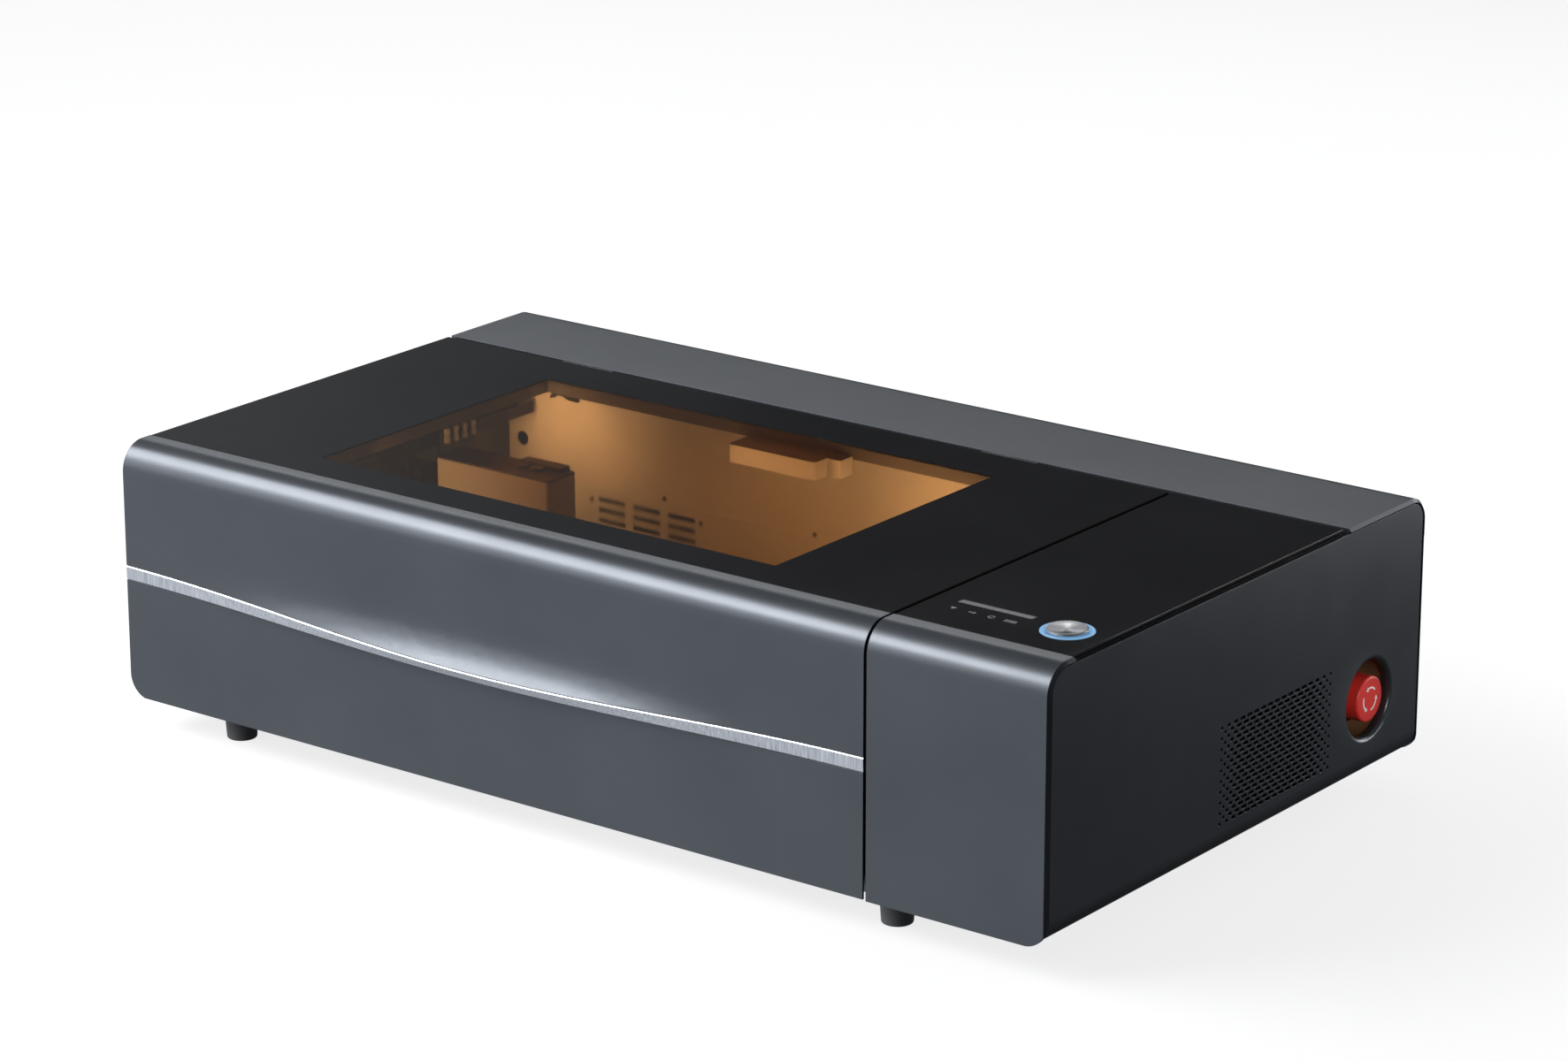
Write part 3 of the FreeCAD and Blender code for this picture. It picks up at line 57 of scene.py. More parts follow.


# ---- node helpers ----
class Look:
    """One procedural material, grown round its Principled shader."""

    def __init__(self, name, color, roughness, metallic=0.0, **sockets):
        self.material = bpy.data.materials.new(name)
        self.material.use_nodes = True
        self.tree = self.material.node_tree
        self.shader = self.tree.nodes["Principled BSDF"]
        self.shader.inputs["Base Color"].default_value = (*color, 1.0)
        self.shader.inputs["Metallic"].default_value = metallic
        self.shader.inputs["Roughness"].default_value = roughness
        for key, value in sockets.items():
            self.shader.inputs[key.replace("_", " ")].default_value = value
        self.where = self.tree.nodes.new("ShaderNodeTexCoord").outputs["Object"]

    def node(self, kind, **values):
        made = self.tree.nodes.new(kind)
        for key, value in values.items():
            made.inputs[key.replace("_", " ")].default_value = value
        return made

    def link(self, output, target):
        self.tree.links.new(output, target)

    def stretched(self, scale):
        mapping = self.node("ShaderNodeMapping", Scale=scale)
        self.link(self.where, mapping.inputs["Vector"])
        return mapping.outputs["Vector"]

    def noise(self, scale, detail=3.0, stretch=None):
        made = self.node("ShaderNodeTexNoise", Scale=scale, Detail=detail)
        self.link(self.stretched(stretch) if stretch else self.where, made.inputs["Vector"])
        return made.outputs["Fac"]

    def cells(self, scale, stretch):
        made = self.node("ShaderNodeTexVoronoi", Scale=scale)
        self.link(self.stretched(stretch), made.inputs["Vector"])
        return made.outputs["Distance"]

    def ranged(self, value, low, high, source=(0.3, 0.7)):
        made = self.node("ShaderNodeMapRange", From_Min=source[0], From_Max=source[1],
                         To_Min=low, To_Max=high)
        self.link(value, made.inputs["Value"])
        return made.outputs["Result"]

    def tint(self, value, dark, light):
        ramp = self.tree.nodes.new("ShaderNodeValToRGB")
        ramp.color_ramp.elements[0].color = (*dark, 1.0)
        ramp.color_ramp.elements[1].color = (*light, 1.0)
        ramp.color_ramp.elements[0].position = 0.3
        ramp.color_ramp.elements[1].position = 0.7
        self.link(value, ramp.inputs["Fac"])
        self.link(ramp.outputs["Color"], self.shader.inputs["Base Color"])
        return ramp

    def roughen(self, value, low, high):
        self.link(self.ranged(value, low, high), self.shader.inputs["Roughness"])

    def bump(self, height, depth, strength, edge=0.0):
        made = self.node("ShaderNodeBump", Strength=strength, Distance=depth)
        self.link(height, made.inputs["Height"])
        if edge:
            bevel = self.node("ShaderNodeBevel", Radius=edge)
            self.link(bevel.outputs["Normal"], made.inputs["Normal"])
        self.link(made.outputs["Normal"], self.shader.inputs["Normal"])


def coated(name, dark, light, rough, grain=1400.0, depth=0.00003, edge=0.0, **sockets):
    """Powder-coated or moulded finish: fine grain, faint clouding and uneven gloss."""
    look = Look(name, light, roughness=rough[0], **sockets)
    cloud = look.noise(9.0, 4.0)
    look.tint(cloud, dark, light)
    look.roughen(look.noise(26.0, 5.0), rough[0], rough[1])
    look.bump(look.noise(grain, 2.0), depth, 0.35, edge)
    return look.material


def brushed(name, dark, light, rough, stretch, depth=0.00002):
    """Brushed metal: hair lines along the direction with the smallest stretch."""
    look = Look(name, light, metallic=1.0, roughness=rough[0])
    lines = look.noise(1.0, 5.0, stretch)
    look.tint(lines, dark, light)
    look.roughen(look.noise(1.0, 3.0, tuple(s * 0.37 for s in stretch)), rough[0], rough[1])
    look.bump(lines, depth, 0.3)
    return look.material


# ---- finishes, one for each material slot of the record ----
def housing_paint():
    return coated("housing_paint", (0.098, 0.108, 0.122), (0.112, 0.123, 0.138), (0.285, 0.315),
                  depth=0.00001, edge=0.0006, Metallic=0.65)


def trim_metal():
    return brushed("trim_metal", (0.42, 0.44, 0.47), (0.80, 0.82, 0.85), (0.285, 0.36),
                   (900.0, 900.0, 14.0), depth=0.00004)


def tinted_glass():
    look = Look("tinted_glass", (0.93, 0.50, 0.20), roughness=0.02, IOR=1.5,
                Transmission_Weight=1.0)
    look.roughen(look.noise(14.0, 4.0), 0.015, 0.035)
    return look.material


def black_print():
    return coated("black_print", (0.003, 0.003, 0.003), (0.005, 0.005, 0.005), (0.5, 0.6),
                  grain=2600.0, depth=0.00001)


def black_glass():
    look = Look("black_glass", (0.006, 0.006, 0.007), roughness=0.04, IOR=1.5)
    look.tint(look.noise(5.0, 4.0), (0.016, 0.016, 0.017), (0.022, 0.022, 0.023))
    look.roughen(look.noise(18.0, 5.0), 0.03, 0.06)
    look.bump(look.noise(3.0, 1.0), 0.00002, 0.05)
    return look.material


def frame_paint():
    return coated("frame_paint", (0.018, 0.017, 0.016), (0.026, 0.025, 0.024), (0.42, 0.52),
                  edge=0.0005)


def interior_paint():
    return coated("interior_paint", (0.50, 0.47, 0.43), (0.60, 0.57, 0.52), (0.48, 0.60),
                  edge=0.0005)


def hinge_steel():
    return brushed("hinge_steel", (0.10, 0.10, 0.11), (0.22, 0.22, 0.23), (0.32, 0.45),
                   (30.0, 900.0, 900.0))


def foot_rubber():
    look = Look("foot_rubber", (0.03, 0.03, 0.032), roughness=0.75)
    look.tint(look.noise(70.0, 5.0), (0.130, 0.130, 0.132), (0.170, 0.170, 0.174))
    look.roughen(look.noise(40.0), 0.66, 0.85)
    look.bump(look.noise(900.0, 4.0), 0.00008, 0.5)
    return look.material


def bed_metal():
    look = Look("bed_metal", (0.03, 0.028, 0.027), metallic=0.4, roughness=0.5)
    look.tint(look.noise(35.0, 6.0), (0.018, 0.016, 0.015), (0.055, 0.048, 0.042))
    look.roughen(look.noise(60.0, 4.0), 0.42, 0.66)
    look.bump(look.noise(600.0, 3.0), 0.00006, 0.4)
    return look.material


def rail_steel():
    return brushed("rail_steel", (0.024, 0.023, 0.022), (0.050, 0.048, 0.046), (0.29, 0.38),
                   (600.0, 12.0, 600.0), depth=0.00001)


def belt_rubber():
    """Toothed belt: cross ribs 3 mm apart."""
    look = Look("belt_rubber", (0.02, 0.02, 0.02), roughness=0.6)
    wave = look.tree.nodes.new("ShaderNodeTexWave")
    wave.bands_direction = "DIAGONAL"
    wave.inputs["Scale"].default_value = 180.0
    look.link(look.where, wave.inputs["Vector"])
    look.tint(wave.outputs["Fac"], (0.010, 0.010, 0.010), (0.030, 0.030, 0.030))
    look.roughen(look.noise(60.0), 0.5, 0.7)
    look.bump(wave.outputs["Fac"], 0.0003, 0.6)
    return look.material


def motor_case():
    return coated("motor_case", (0.010, 0.010, 0.011), (0.020, 0.020, 0.022), (0.30, 0.42),
                  grain=900.0)


def gantry_aluminium():
    return brushed("gantry_aluminium", (0.050, 0.048, 0.046), (0.085, 0.082, 0.079), (0.34, 0.46),
                   (14.0, 700.0, 700.0))


def painted_shade_top(name, dark, light, shade_line, shade_level):
    """Pale coating with painted shade above a given height: the top is darkened to stand for the shadow
    that falls on it.
    """
    look = Look(name, light, roughness=0.45)
    shell = look.tint(look.noise(9.0, 4.0), dark, light)
    height = look.tree.nodes.new("ShaderNodeSeparateXYZ")
    look.link(look.where, height.inputs["Vector"])
    # painted shade: above the line the colour's value is cut to the given level
    top_shade = look.ranged(height.outputs["Z"], 1.0, shade_level, (shade_line - SHADE_BLEND_HALF, shade_line + SHADE_BLEND_HALF))
    shade_dimmer = look.tree.nodes.new("ShaderNodeHueSaturation")
    look.link(shell.outputs["Color"], shade_dimmer.inputs["Color"])
    look.link(top_shade, shade_dimmer.inputs["Value"])
    look.link(shade_dimmer.outputs["Color"], look.shader.inputs["Base Color"])
    look.roughen(look.noise(26.0, 5.0), 0.42, 0.52)
    look.bump(look.noise(1800.0, 2.0), 0.00003, 0.35, 0.0006)
    return look.material


# painted shade: the head's top is darkened to a tenth
def head_paint():
    return painted_shade_top("head_paint", (0.38, 0.36, 0.33), (0.46, 0.44, 0.41), HEAD_SHADE_LINE, 0.10)


# painted shade: the camera box's top is darkened to about a fifth
def camera_paint_shaded_top():
    return painted_shade_top("camera_paint_shaded_top", (0.50, 0.47, 0.43), (0.60, 0.57, 0.52), CAMERA_SHADE_LINE, 0.22)


def lid_frame_paint():
    return coated("lid_frame_paint", (0.080, 0.072, 0.070), (0.110, 0.100, 0.096), (0.42, 0.52),
                  edge=0.0005)


def mirror_mount():
    return coated("mirror_mount", (0.030, 0.030, 0.032), (0.060, 0.060, 0.063), (0.30, 0.42),
                  grain=2200.0, Metallic=0.8)


def lens_metal():
    return brushed("lens_metal", (0.40, 0.40, 0.41), (0.66, 0.66, 0.68), (0.285, 0.38),
                   (20.0, 20.0, 900.0))


def tube_glass():
    look = Look("tube_glass", (0.92, 0.95, 0.96), roughness=0.03, IOR=1.47,
                Transmission_Weight=1.0)
    look.roughen(look.noise(20.0, 3.0), 0.02, 0.05)
    return look.material


def fan_plastic():
    return coated("fan_plastic", (0.012, 0.012, 0.012), (0.022, 0.022, 0.022), (0.42, 0.55),
                  grain=1700.0)


def outlet_plastic():
    return coated("outlet_plastic", (0.022, 0.022, 0.024), (0.034, 0.034, 0.037), (0.46, 0.58),
                  grain=1300.0, depth=0.00006, edge=0.0008)


def socket_plastic():
    return coated("socket_plastic", (0.012, 0.012, 0.012), (0.020, 0.020, 0.020), (0.29, 0.38),
                  grain=1900.0, edge=0.0004)


def radiator_metal():
    return coated("radiator_metal", (0.012, 0.012, 0.013), (0.030, 0.030, 0.032), (0.40, 0.55),
                  grain=800.0, Metallic=0.5)


def tank_plastic():
    return coated("tank_plastic", (0.56, 0.60, 0.62), (0.68, 0.71, 0.72), (0.34, 0.45), grain=500.0)


def supply_case():
    return brushed("supply_case", (0.34, 0.35, 0.36), (0.50, 0.51, 0.52), (0.38, 0.5),
                   (200.0, 200.0, 200.0))


def circuit_board():
    """Solder mask with lighter tracks."""
    look = Look("circuit_board", (0.02, 0.10, 0.04), roughness=0.35)
    look.tint(look.cells(220.0, (1.0, 1.0, 0.1)), (0.012, 0.075, 0.03), (0.05, 0.20, 0.08))
    look.roughen(look.noise(90.0), 0.29, 0.46)
    look.bump(look.cells(220.0, (1.0, 1.0, 0.1)), 0.00008, 0.4)
    return look.material


def lit_diffuser():
    look = Look("lit_diffuser", (0.04, 0.07, 0.11), roughness=0.4,
                Emission_Color=(0.20, 0.42, 0.70, 1.0), Emission_Strength=0.85)
    look.tint(look.noise(160.0, 3.0), (0.03, 0.06, 0.10), (0.05, 0.09, 0.13))
    look.roughen(look.noise(90.0), 0.35, 0.5)
    return look.material


def work_lamp():
    look = Look("work_lamp", (0.92, 0.88, 0.80), roughness=0.4,
                Emission_Color=(1.0, 0.88, 0.70, 1.0), Emission_Strength=1.5)
    look.tint(look.noise(120.0, 3.0), (0.86, 0.82, 0.74), (0.94, 0.90, 0.82))
    return look.material


def button_steel():
    """Spun face: fine rings round the button's own middle."""
    low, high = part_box("power_button")
    look = Look("button_steel", (0.70, 0.71, 0.73), metallic=1.0, roughness=0.25)
    shift = look.node("ShaderNodeVectorMath")
    shift.operation = "SUBTRACT"
    shift.inputs[1].default_value = ((low[0] + high[0]) / 2, (low[1] + high[1]) / 2, 0.0)
    look.link(look.where, shift.inputs[0])
    rings = look.tree.nodes.new("ShaderNodeTexWave")
    rings.wave_type = "RINGS"
    rings.rings_direction = "Z"
    rings.inputs["Scale"].default_value = 420.0
    rings.inputs["Distortion"].default_value = 0.6
    look.link(shift.outputs["Vector"], rings.inputs["Vector"])
    look.tint(rings.outputs["Fac"], (0.56, 0.57, 0.59), (0.78, 0.79, 0.81))
    look.roughen(look.noise(300.0), 0.285, 0.36)
    look.bump(rings.outputs["Fac"], 0.00003, 0.4)
    return look.material


def recess_plastic():
    return coated("recess_plastic", (0.20, 0.105, 0.050), (0.27, 0.145, 0.072), (0.30, 0.40),
                  grain=1500.0, Coat_Weight=0.3)


def stop_red():
    return coated("stop_red", (0.60, 0.026, 0.020), (0.68, 0.034, 0.026), (0.34, 0.44), grain=1200.0,
                  edge=0.0008)


LOOKS = {make.__name__: make() for make in (
    housing_paint, trim_metal, tinted_glass, black_print, black_glass, frame_paint, interior_paint,
    hinge_steel, foot_rubber, bed_metal, rail_steel, belt_rubber, motor_case, gantry_aluminium,
    head_paint, mirror_mount, lens_metal, tube_glass, fan_plastic, outlet_plastic, socket_plastic,
    radiator_metal, tank_plastic, supply_case, circuit_board, lit_diffuser, work_lamp, button_steel,
    recess_plastic, stop_red)}

for name, obj in NODES.items():
    for slot in obj.material_slots:
        slot.material = LOOKS[SLOT_OF[name]]
OWN_LOOK = {"exhaust_duct": LOOKS["fan_plastic"], "camera_housing": camera_paint_shaded_top(),
            "lid_frame": lid_frame_paint()}
for name, material in OWN_LOOK.items():
    for slot in NODES[name].material_slots:
        slot.material = material


# ---- small pieces ----
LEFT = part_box("lid_trim")[0][0]
FLOOR_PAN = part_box("base_pan")[0][2]
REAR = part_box("rear_panel")[1][1]
DEPTH_MM = 575.0
CRISP = math.radians(35.0)


def at(x, y, z):
    """A point given in cabinet millimetres: from the left end, the front face and the underside."""
    return Vector((LEFT + x * MM, REAR - (DEPTH_MM - y) * MM, FLOOR_PAN + z * MM))


def piece(name, mesh, body, slot, look=None, place=None, turn=None):
    """Link a bmesh as a piece that rides on a body."""
    data = bpy.data.meshes.new(name)
    bmesh.ops.recalc_face_normals(mesh, faces=mesh.faces)
    mesh.to_mesh(data)
    mesh.free()
    data.materials.append(look or LOOKS[slot])
    made = bpy.data.objects.new(name, data)
    if turn is not None:
        made.matrix_world = turn
    if place is not None:
        made.location = place
    bpy.context.scene.collection.objects.link(made)
    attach(made, body)
    return made


def bridged(loops, closed=False):
    """A mesh whose skin runs through rings of corners of equal count."""
    mesh = bmesh.new()
    rows = [[mesh.verts.new(corner) for corner in loop] for loop in loops]
    pairs = list(zip(rows, rows[1:])) + ([(rows[-1], rows[0])] if closed else [])
    for low, high in pairs:
        for here in range(len(low)):
            there = (here + 1) % len(low)
            mesh.faces.new((low[here], low[there], high[there], high[here]))
    if not closed:
        mesh.faces.new(rows[0])
        mesh.faces.new(rows[-1])
    return mesh


def circle(radius, height, steps):
    """Corners of a circle about Z, from millimetres."""
    return [(radius * MM * math.cos(math.tau * step / steps),
             radius * MM * math.sin(math.tau * step / steps), height * MM)
            for step in range(steps)]


def lathe(profile, steps):
    """A turned shape about Z from (radius, height) points in millimetres."""
    return bridged([circle(radius, height, steps) for radius, height in profile])


def smooth(mesh):
    """Round shading, with edges sharper than CRISP left as they are."""
    mesh.normal_update()
    for face in mesh.faces:
        face.smooth = True
    for edge in mesh.edges:
        edge.smooth = edge.is_boundary or edge.calc_face_angle(0.0) < CRISP
    return mesh


def rectangle(low, high, z, inset=0.0):
    return [(low[0] + inset, low[1] + inset, z), (high[0] - inset, low[1] + inset, z),
            (high[0] - inset, high[1] - inset, z), (low[0] + inset, high[1] - inset, z)]


def outline_plate(corners, thickness):
    """A thin flat mark from its outline, in millimetres, in its own plane."""
    loops = [[(x * MM, y * MM, z) for x, y in corners] for z in (0.0, thickness * MM)]
    return bridged(loops)


def printed(outlines):
    """Several flat marks as one mesh."""
    whole = bmesh.new()
    scratch = bpy.data.meshes.new("scratch")
    for outline in outlines:
        part = outline_plate(outline, PRINT_THICK)
        part.to_mesh(scratch)
        part.free()
        whole.from_mesh(scratch)
    bpy.data.meshes.remove(scratch)
    return whole


# ---- lid glass: black border and amber pane ----
PANE_GAP = 0.02 * MM
ROUND_OVER = 0.6 * MM
WINDOW = (at(168.0, 77.0, 0.0), at(672.0, 390.0, 0.0))
GLASS_LOW, GLASS_HIGH = (Vector(corner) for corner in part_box("lid_glass"))


def lid_glass_border():
    low, high = GLASS_LOW, GLASS_HIGH
    loops = [rectangle(low, high, low.z),
             rectangle(low, high, high.z - ROUND_OVER),
             rectangle(low, high, high.z - 0.3 * ROUND_OVER, 0.3 * ROUND_OVER),
             rectangle(low, high, high.z, ROUND_OVER),
             rectangle(WINDOW[0], WINDOW[1], high.z),
             rectangle(WINDOW[0], WINDOW[1], low.z)]
    border = piece("lid_glass_border", bridged(loops, closed=True), "lid", "black_glass")
    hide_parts("lid_glass")


def lid_glass_pane():
    low, high = WINDOW
    loops = [rectangle(low, high, z, PANE_GAP) for z in (GLASS_LOW.z, GLASS_HIGH.z)]
    pane = piece("lid_glass_pane", bridged(loops), "lid", "tinted_glass")
    pane.data.materials.append(LOOKS["black_print"])
    for face in pane.data.polygons:
        face.material_index = 0 if abs(face.normal.z) > 0.5 else 1
    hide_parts("lid_glass")


# ---- control panel: button, lights and marks ----
BUTTON_LOW, BUTTON_HIGH = (Vector(corner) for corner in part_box("power_button"))
BUTTON_MIDDLE = (BUTTON_LOW + BUTTON_HIGH) / 2
BAR = (at(846.4, 92.8, 0.0), at(918.7, 98.4, 0.0))
BAR_DEPTH = 3.0 * MM
BAR_SINK = 0.05 * MM
HATCH_COUNT = 30
HATCH_LENGTH = 7.4           # mm along the depth of the cabinet
MARKS_Y = 77.0
PRINT_THICK = 0.05           # mm
PRINT_LIFT = 0.02 * MM
TURN_STEPS = 96


def spun_steel():
    """Spun button face: highlights fan out from the middle."""
    look = Look("spun_steel", (0.54, 0.55, 0.57), metallic=1.0, roughness=0.30, Anisotropic=0.9)
    tangent = look.tree.nodes.new("ShaderNodeTangent")
    tangent.direction_type = "RADIAL"
    tangent.axis = "Z"
    look.link(tangent.outputs["Tangent"], look.shader.inputs["Tangent"])
    rings = look.tree.nodes.new("ShaderNodeTexWave")
    rings.wave_type = "RINGS"
    rings.rings_direction = "Z"
    rings.inputs["Scale"].default_value = 520.0
    rings.inputs["Distortion"].default_value = 0.4
    look.link(look.where, rings.inputs["Vector"])
    look.tint(rings.outputs["Fac"], (0.44, 0.45, 0.47), (0.64, 0.65, 0.67))
    look.bump(rings.outputs["Fac"], 0.00002, 0.25)
    return look.material


def button_cap():
    """Dished cap with a bright chamfer, on its stem."""
    top = BUTTON_HIGH.z
    base = BUTTON_LOW.z
    stem = (top - base) / MM
    profile = [(6.0, -stem), (6.0, -5.4), (17.3, -5.4), (17.3, -1.1), (17.1, -0.5), (16.5, -0.1),
               (15.9, 0.0), (15.3, -0.1), (12.0, -0.45), (8.0, -0.65), (4.0, -0.78), (0.5, -0.82)]
    place = Vector((BUTTON_MIDDLE.x, BUTTON_MIDDLE.y, top))
    cap = piece("power_button_cap", smooth(lathe(profile, TURN_STEPS)), "start_button", "button_steel",
                spun_steel(), place)
    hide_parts("power_button")


def light_ring():
    low, high = (Vector(corner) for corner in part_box("panel_lights"))
    rise = (high.z - low.z) / MM
    profile = [(19.6, -rise), (22.6, -rise), (22.6, -0.6), (22.4, -0.2), (22.0, 0.0), (20.2, 0.0),
               (19.8, -0.2), (19.6, -0.6)]
    mesh = bridged([circle(radius, height, TURN_STEPS) for radius, height in profile], closed=True)
    ring = piece("button_light_ring", smooth(mesh), "cabinet", "lit_diffuser",
                 place=Vector((BUTTON_MIDDLE.x, BUTTON_MIDDLE.y, high.z)))
    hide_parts("panel_lights")


def grey_diffuser():
    look = Look("grey_diffuser", (0.16, 0.16, 0.165), roughness=0.35)
    look.tint(look.noise(1.0, 5.0, (260.0, 900.0, 1.0)), (0.10, 0.10, 0.103), (0.27, 0.27, 0.274))
    look.roughen(look.noise(300.0), 0.3, 0.45)
    return look.material


def status_bar():
    low, high = BAR
    top = GLASS_HIGH.z
    loops = [rectangle(low, high, top - BAR_DEPTH), rectangle(low, high, top - BAR_SINK)]
    bar = piece("status_bar", bridged(loops), "cabinet", "lit_diffuser", grey_diffuser())
    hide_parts("panel_lights")


def status_hatch():
    """Slanted strokes printed across the status bar."""
    low, high = BAR
    step = (high.x - low.x) / MM / HATCH_COUNT
    starts = [number * step for number in range(HATCH_COUNT)]
    strokes = [[(x, 0.0), (x + 0.5 * step, 0.0), (x + 1.1 * step, HATCH_LENGTH),
                (x + 0.6 * step, HATCH_LENGTH)] for x in starts]
    middle = (low.y + high.y) / 2
    place = Vector((low.x, middle - HATCH_LENGTH / 2 * MM, GLASS_HIGH.z + PRINT_LIFT))
    piece("status_hatch", printed(strokes), "cabinet", "black_print", faint_print(), place)


def faint_print():
    look = Look("faint_print", (0.14, 0.14, 0.145), roughness=0.5)
    look.tint(look.noise(700.0, 2.0), (0.24, 0.24, 0.245), (0.34, 0.34, 0.345))
    return look.material


def ring_mark(outer, inner, first, last, steps=28):
    """Outline of a band along an arc."""
    turns = [math.radians(first + (last - first) * step / steps) for step in range(steps + 1)]
    return ([(outer * math.cos(t), outer * math.sin(t)) for t in turns]
            + [(inner * math.cos(t), inner * math.sin(t)) for t in reversed(turns)])


def control_marks():
    """Four small generic marks in front of the bar."""
    look = faint_print()
    marks = {
        "mark_wedge": (852.0, [[(-3.0, 2.4), (3.0, 2.4), (0.0, -2.6)]]),
        "mark_dash": (871.0, [[(-3.4, -0.7), (2.0, -0.7), (2.0, 0.7), (-3.4, 0.7)],
                              [(0.8, -2.8), (4.0, 0.0), (0.8, 2.8), (1.8, 0.0)]]),
        "mark_ring": (890.0, [ring_mark(3.2, 2.1, 20.0, 340.0)]),
        "mark_bars": (910.0, [[(dx - 0.8, -2.6), (dx + 0.8, -2.6), (dx + 0.8, 2.6), (dx - 0.8, 2.6)]
                              for dx in (-6.0, -3.0, 0.0, 3.0)]),
    }
    for name, (x, outlines) in marks.items():
        spot = at(x, MARKS_Y, 0.0)
        place = Vector((spot.x, spot.y, GLASS_HIGH.z + PRINT_LIFT))
        piece(name, printed(outlines), "cabinet", "black_print", look, place)


# ---- stop button ----
ARROW_LIFT = 0.01 * MM
ARROW_THICK = 0.08           # mm


def white_print():
    look = Look("white_print", (0.75, 0.74, 0.72), roughness=0.45)
    look.tint(look.noise(500.0, 3.0), (0.68, 0.67, 0.65), (0.80, 0.79, 0.77))
    return look.material


def stop_arrows():
    """Three curved arrows on the face of the stop button."""
    low, high = (Vector(corner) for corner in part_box("estop_cap"))
    middle = (low + high) / 2
    look = white_print()
    face = Matrix(((0, 0, 1, high.x + ARROW_LIFT), (1, 0, 0, middle.y), (0, 1, 0, middle.z),
                   (0, 0, 0, 1)))
    for turn in range(3):
        start = 120.0 * turn + 40.0
        band = ring_mark(11.2, 9.6, start, start + 68.0, 16)
        tip = math.radians(start + 88.0)
        wide = math.radians(start + 67.0)
        head = [(reach * math.cos(turned), reach * math.sin(turned))
                for reach, turned in ((12.6, wide), (10.4, tip), (8.2, wide))]
        for part_name, outline in (("band", band), ("head", head)):
            piece(f"stop_arrow_{part_name}_{turn + 1}", outline_plate(outline, ARROW_THICK), "stop_cap",
                  "stop_red", look, turn=face)


# ---- screws ----
SCREW_STEPS = 24
HEX_SIZE = 0.42              # of the screw's radius


def screw_mesh(radius):
    """Domed head with a hexagonal socket, standing on its seat along Z."""
    dome = [(radius, 0.0), (radius, 0.25 * radius), (0.86 * radius, 0.55 * radius),
            (0.62 * radius, 0.72 * radius), (0.5 * radius, 0.75 * radius)]
    loops = [circle(reach, height, SCREW_STEPS) for reach, height in dome]
    for depth in (0.74, 0.3):
        rim = circle(HEX_SIZE * radius, depth * radius, SCREW_STEPS)
        loops.append([(x * hexed(step), y * hexed(step), z) for step, (x, y, z) in enumerate(rim)])
    return smooth(bridged(loops))


def hexed(step):
    """Reach of a hexagon's edge at one of the screw's equal turns."""
    turn = math.radians((step * 360.0 / SCREW_STEPS) % 60.0 - 30.0)
    return math.cos(math.radians(30.0)) / math.cos(turn) * 1.1


def facing(direction, place):
    return Matrix.Translation(place) @ Vector(direction).to_track_quat("Z", "Y").to_matrix().to_4x4()


def screws(label, spots, direction, radius, body):
    for number, spot in enumerate(spots, 1):
        piece(f"{label}_screw_{number}", screw_mesh(radius), body, "hinge_steel",
              turn=facing(direction, at(*spot)))


WALL_FRONT = 430.0
WALL_SCREWS = [(187.0, WALL_FRONT, 111.6), (274.0, WALL_FRONT, 128.4), (316.7, WALL_FRONT, 112.3),
               (448.4, WALL_FRONT, 127.4), (640.0, WALL_FRONT, 127.4)]
REAR_SCREWS = [(x, DEPTH_MM, z) for x in (40.0, 360.0, 660.0, 960.0) for z in (14.0, 186.0)]
SIDE_SCREWS = [(1.0, y, 14.0) for y in (60.0, 515.0)]
screws("chamber_wall", WALL_SCREWS, (0, -1, 0), 2.2, "cabinet")
screws("rear_panel", REAR_SCREWS, (0, 1, 0), 3.2, "cabinet")
screws("side_panel", SIDE_SCREWS, (-1, 0, 0), 0.8, "cabinet")


# ---- gantry and chamber fittings ----
CARRIAGE_FACE = 132.0
ROLLER_AXIS = CARRIAGE_FACE + 2.2
ROLLER_FOOT = 191.6
ROLLER_ROW = [286.0 + 12.0 * step for step in range(4)]


def carriage_rollers():
    """Upright grooved rollers, set a little into the inner face of the left carriage."""
    profile = [(2.4, 0.0), (3.2, 0.7), (3.2, 5.6), (2.4, 6.4),
               (2.4, 8.0), (3.2, 8.8), (3.2, 13.7), (2.4, 14.4)]
    for number, y in enumerate(ROLLER_ROW, 1):
        piece(f"carriage_rib_{number}", smooth(lathe(profile, 24)), "gantry", "interior_paint",
              place=at(ROLLER_AXIS, y, ROLLER_FOOT))


def wall_bracket():
    """Folded clip at the top left of the chamber's rear wall."""
    outline = [(0.0, 0.0), (3.0, 5.0), (9.0, 8.0), (17.0, 8.4), (24.0, 6.4), (34.0, 6.0), (34.0, 1.0),
               (22.0, 1.6), (16.0, 4.2), (9.0, 4.0), (5.0, 1.0)]
    place = at(139.0, WALL_FRONT, 202.6)
    turn = Matrix(((1, 0, 0, place.x), (0, 0, -1, place.y), (0, 1, 0, place.z), (0, 0, 0, 1)))
    piece("wall_bracket", outline_plate(outline, 3.0), "cabinet", "fan_plastic", turn=turn)


carriage_rollers()
wall_bracket()


# ---- studio ----
FLOOR_HALF = 14.0
GLOW_TOWARD = (-0.89, -0.44, -0.10)
GLOW_STOPS = ((0.06, 0.13), (0.28, 0.03), (0.573, 0.03), (0.95, 0.88))    # position, strength
CAMERA_PLACE = (2.6400, -3.4669, 1.6062)
CAMERA_DOWN = 17.84
CAMERA_ROUND = 37.2
CAMERA_LENS = 119.18
CHAMBER_LIGHT = (1.0, 0.92, 0.80)


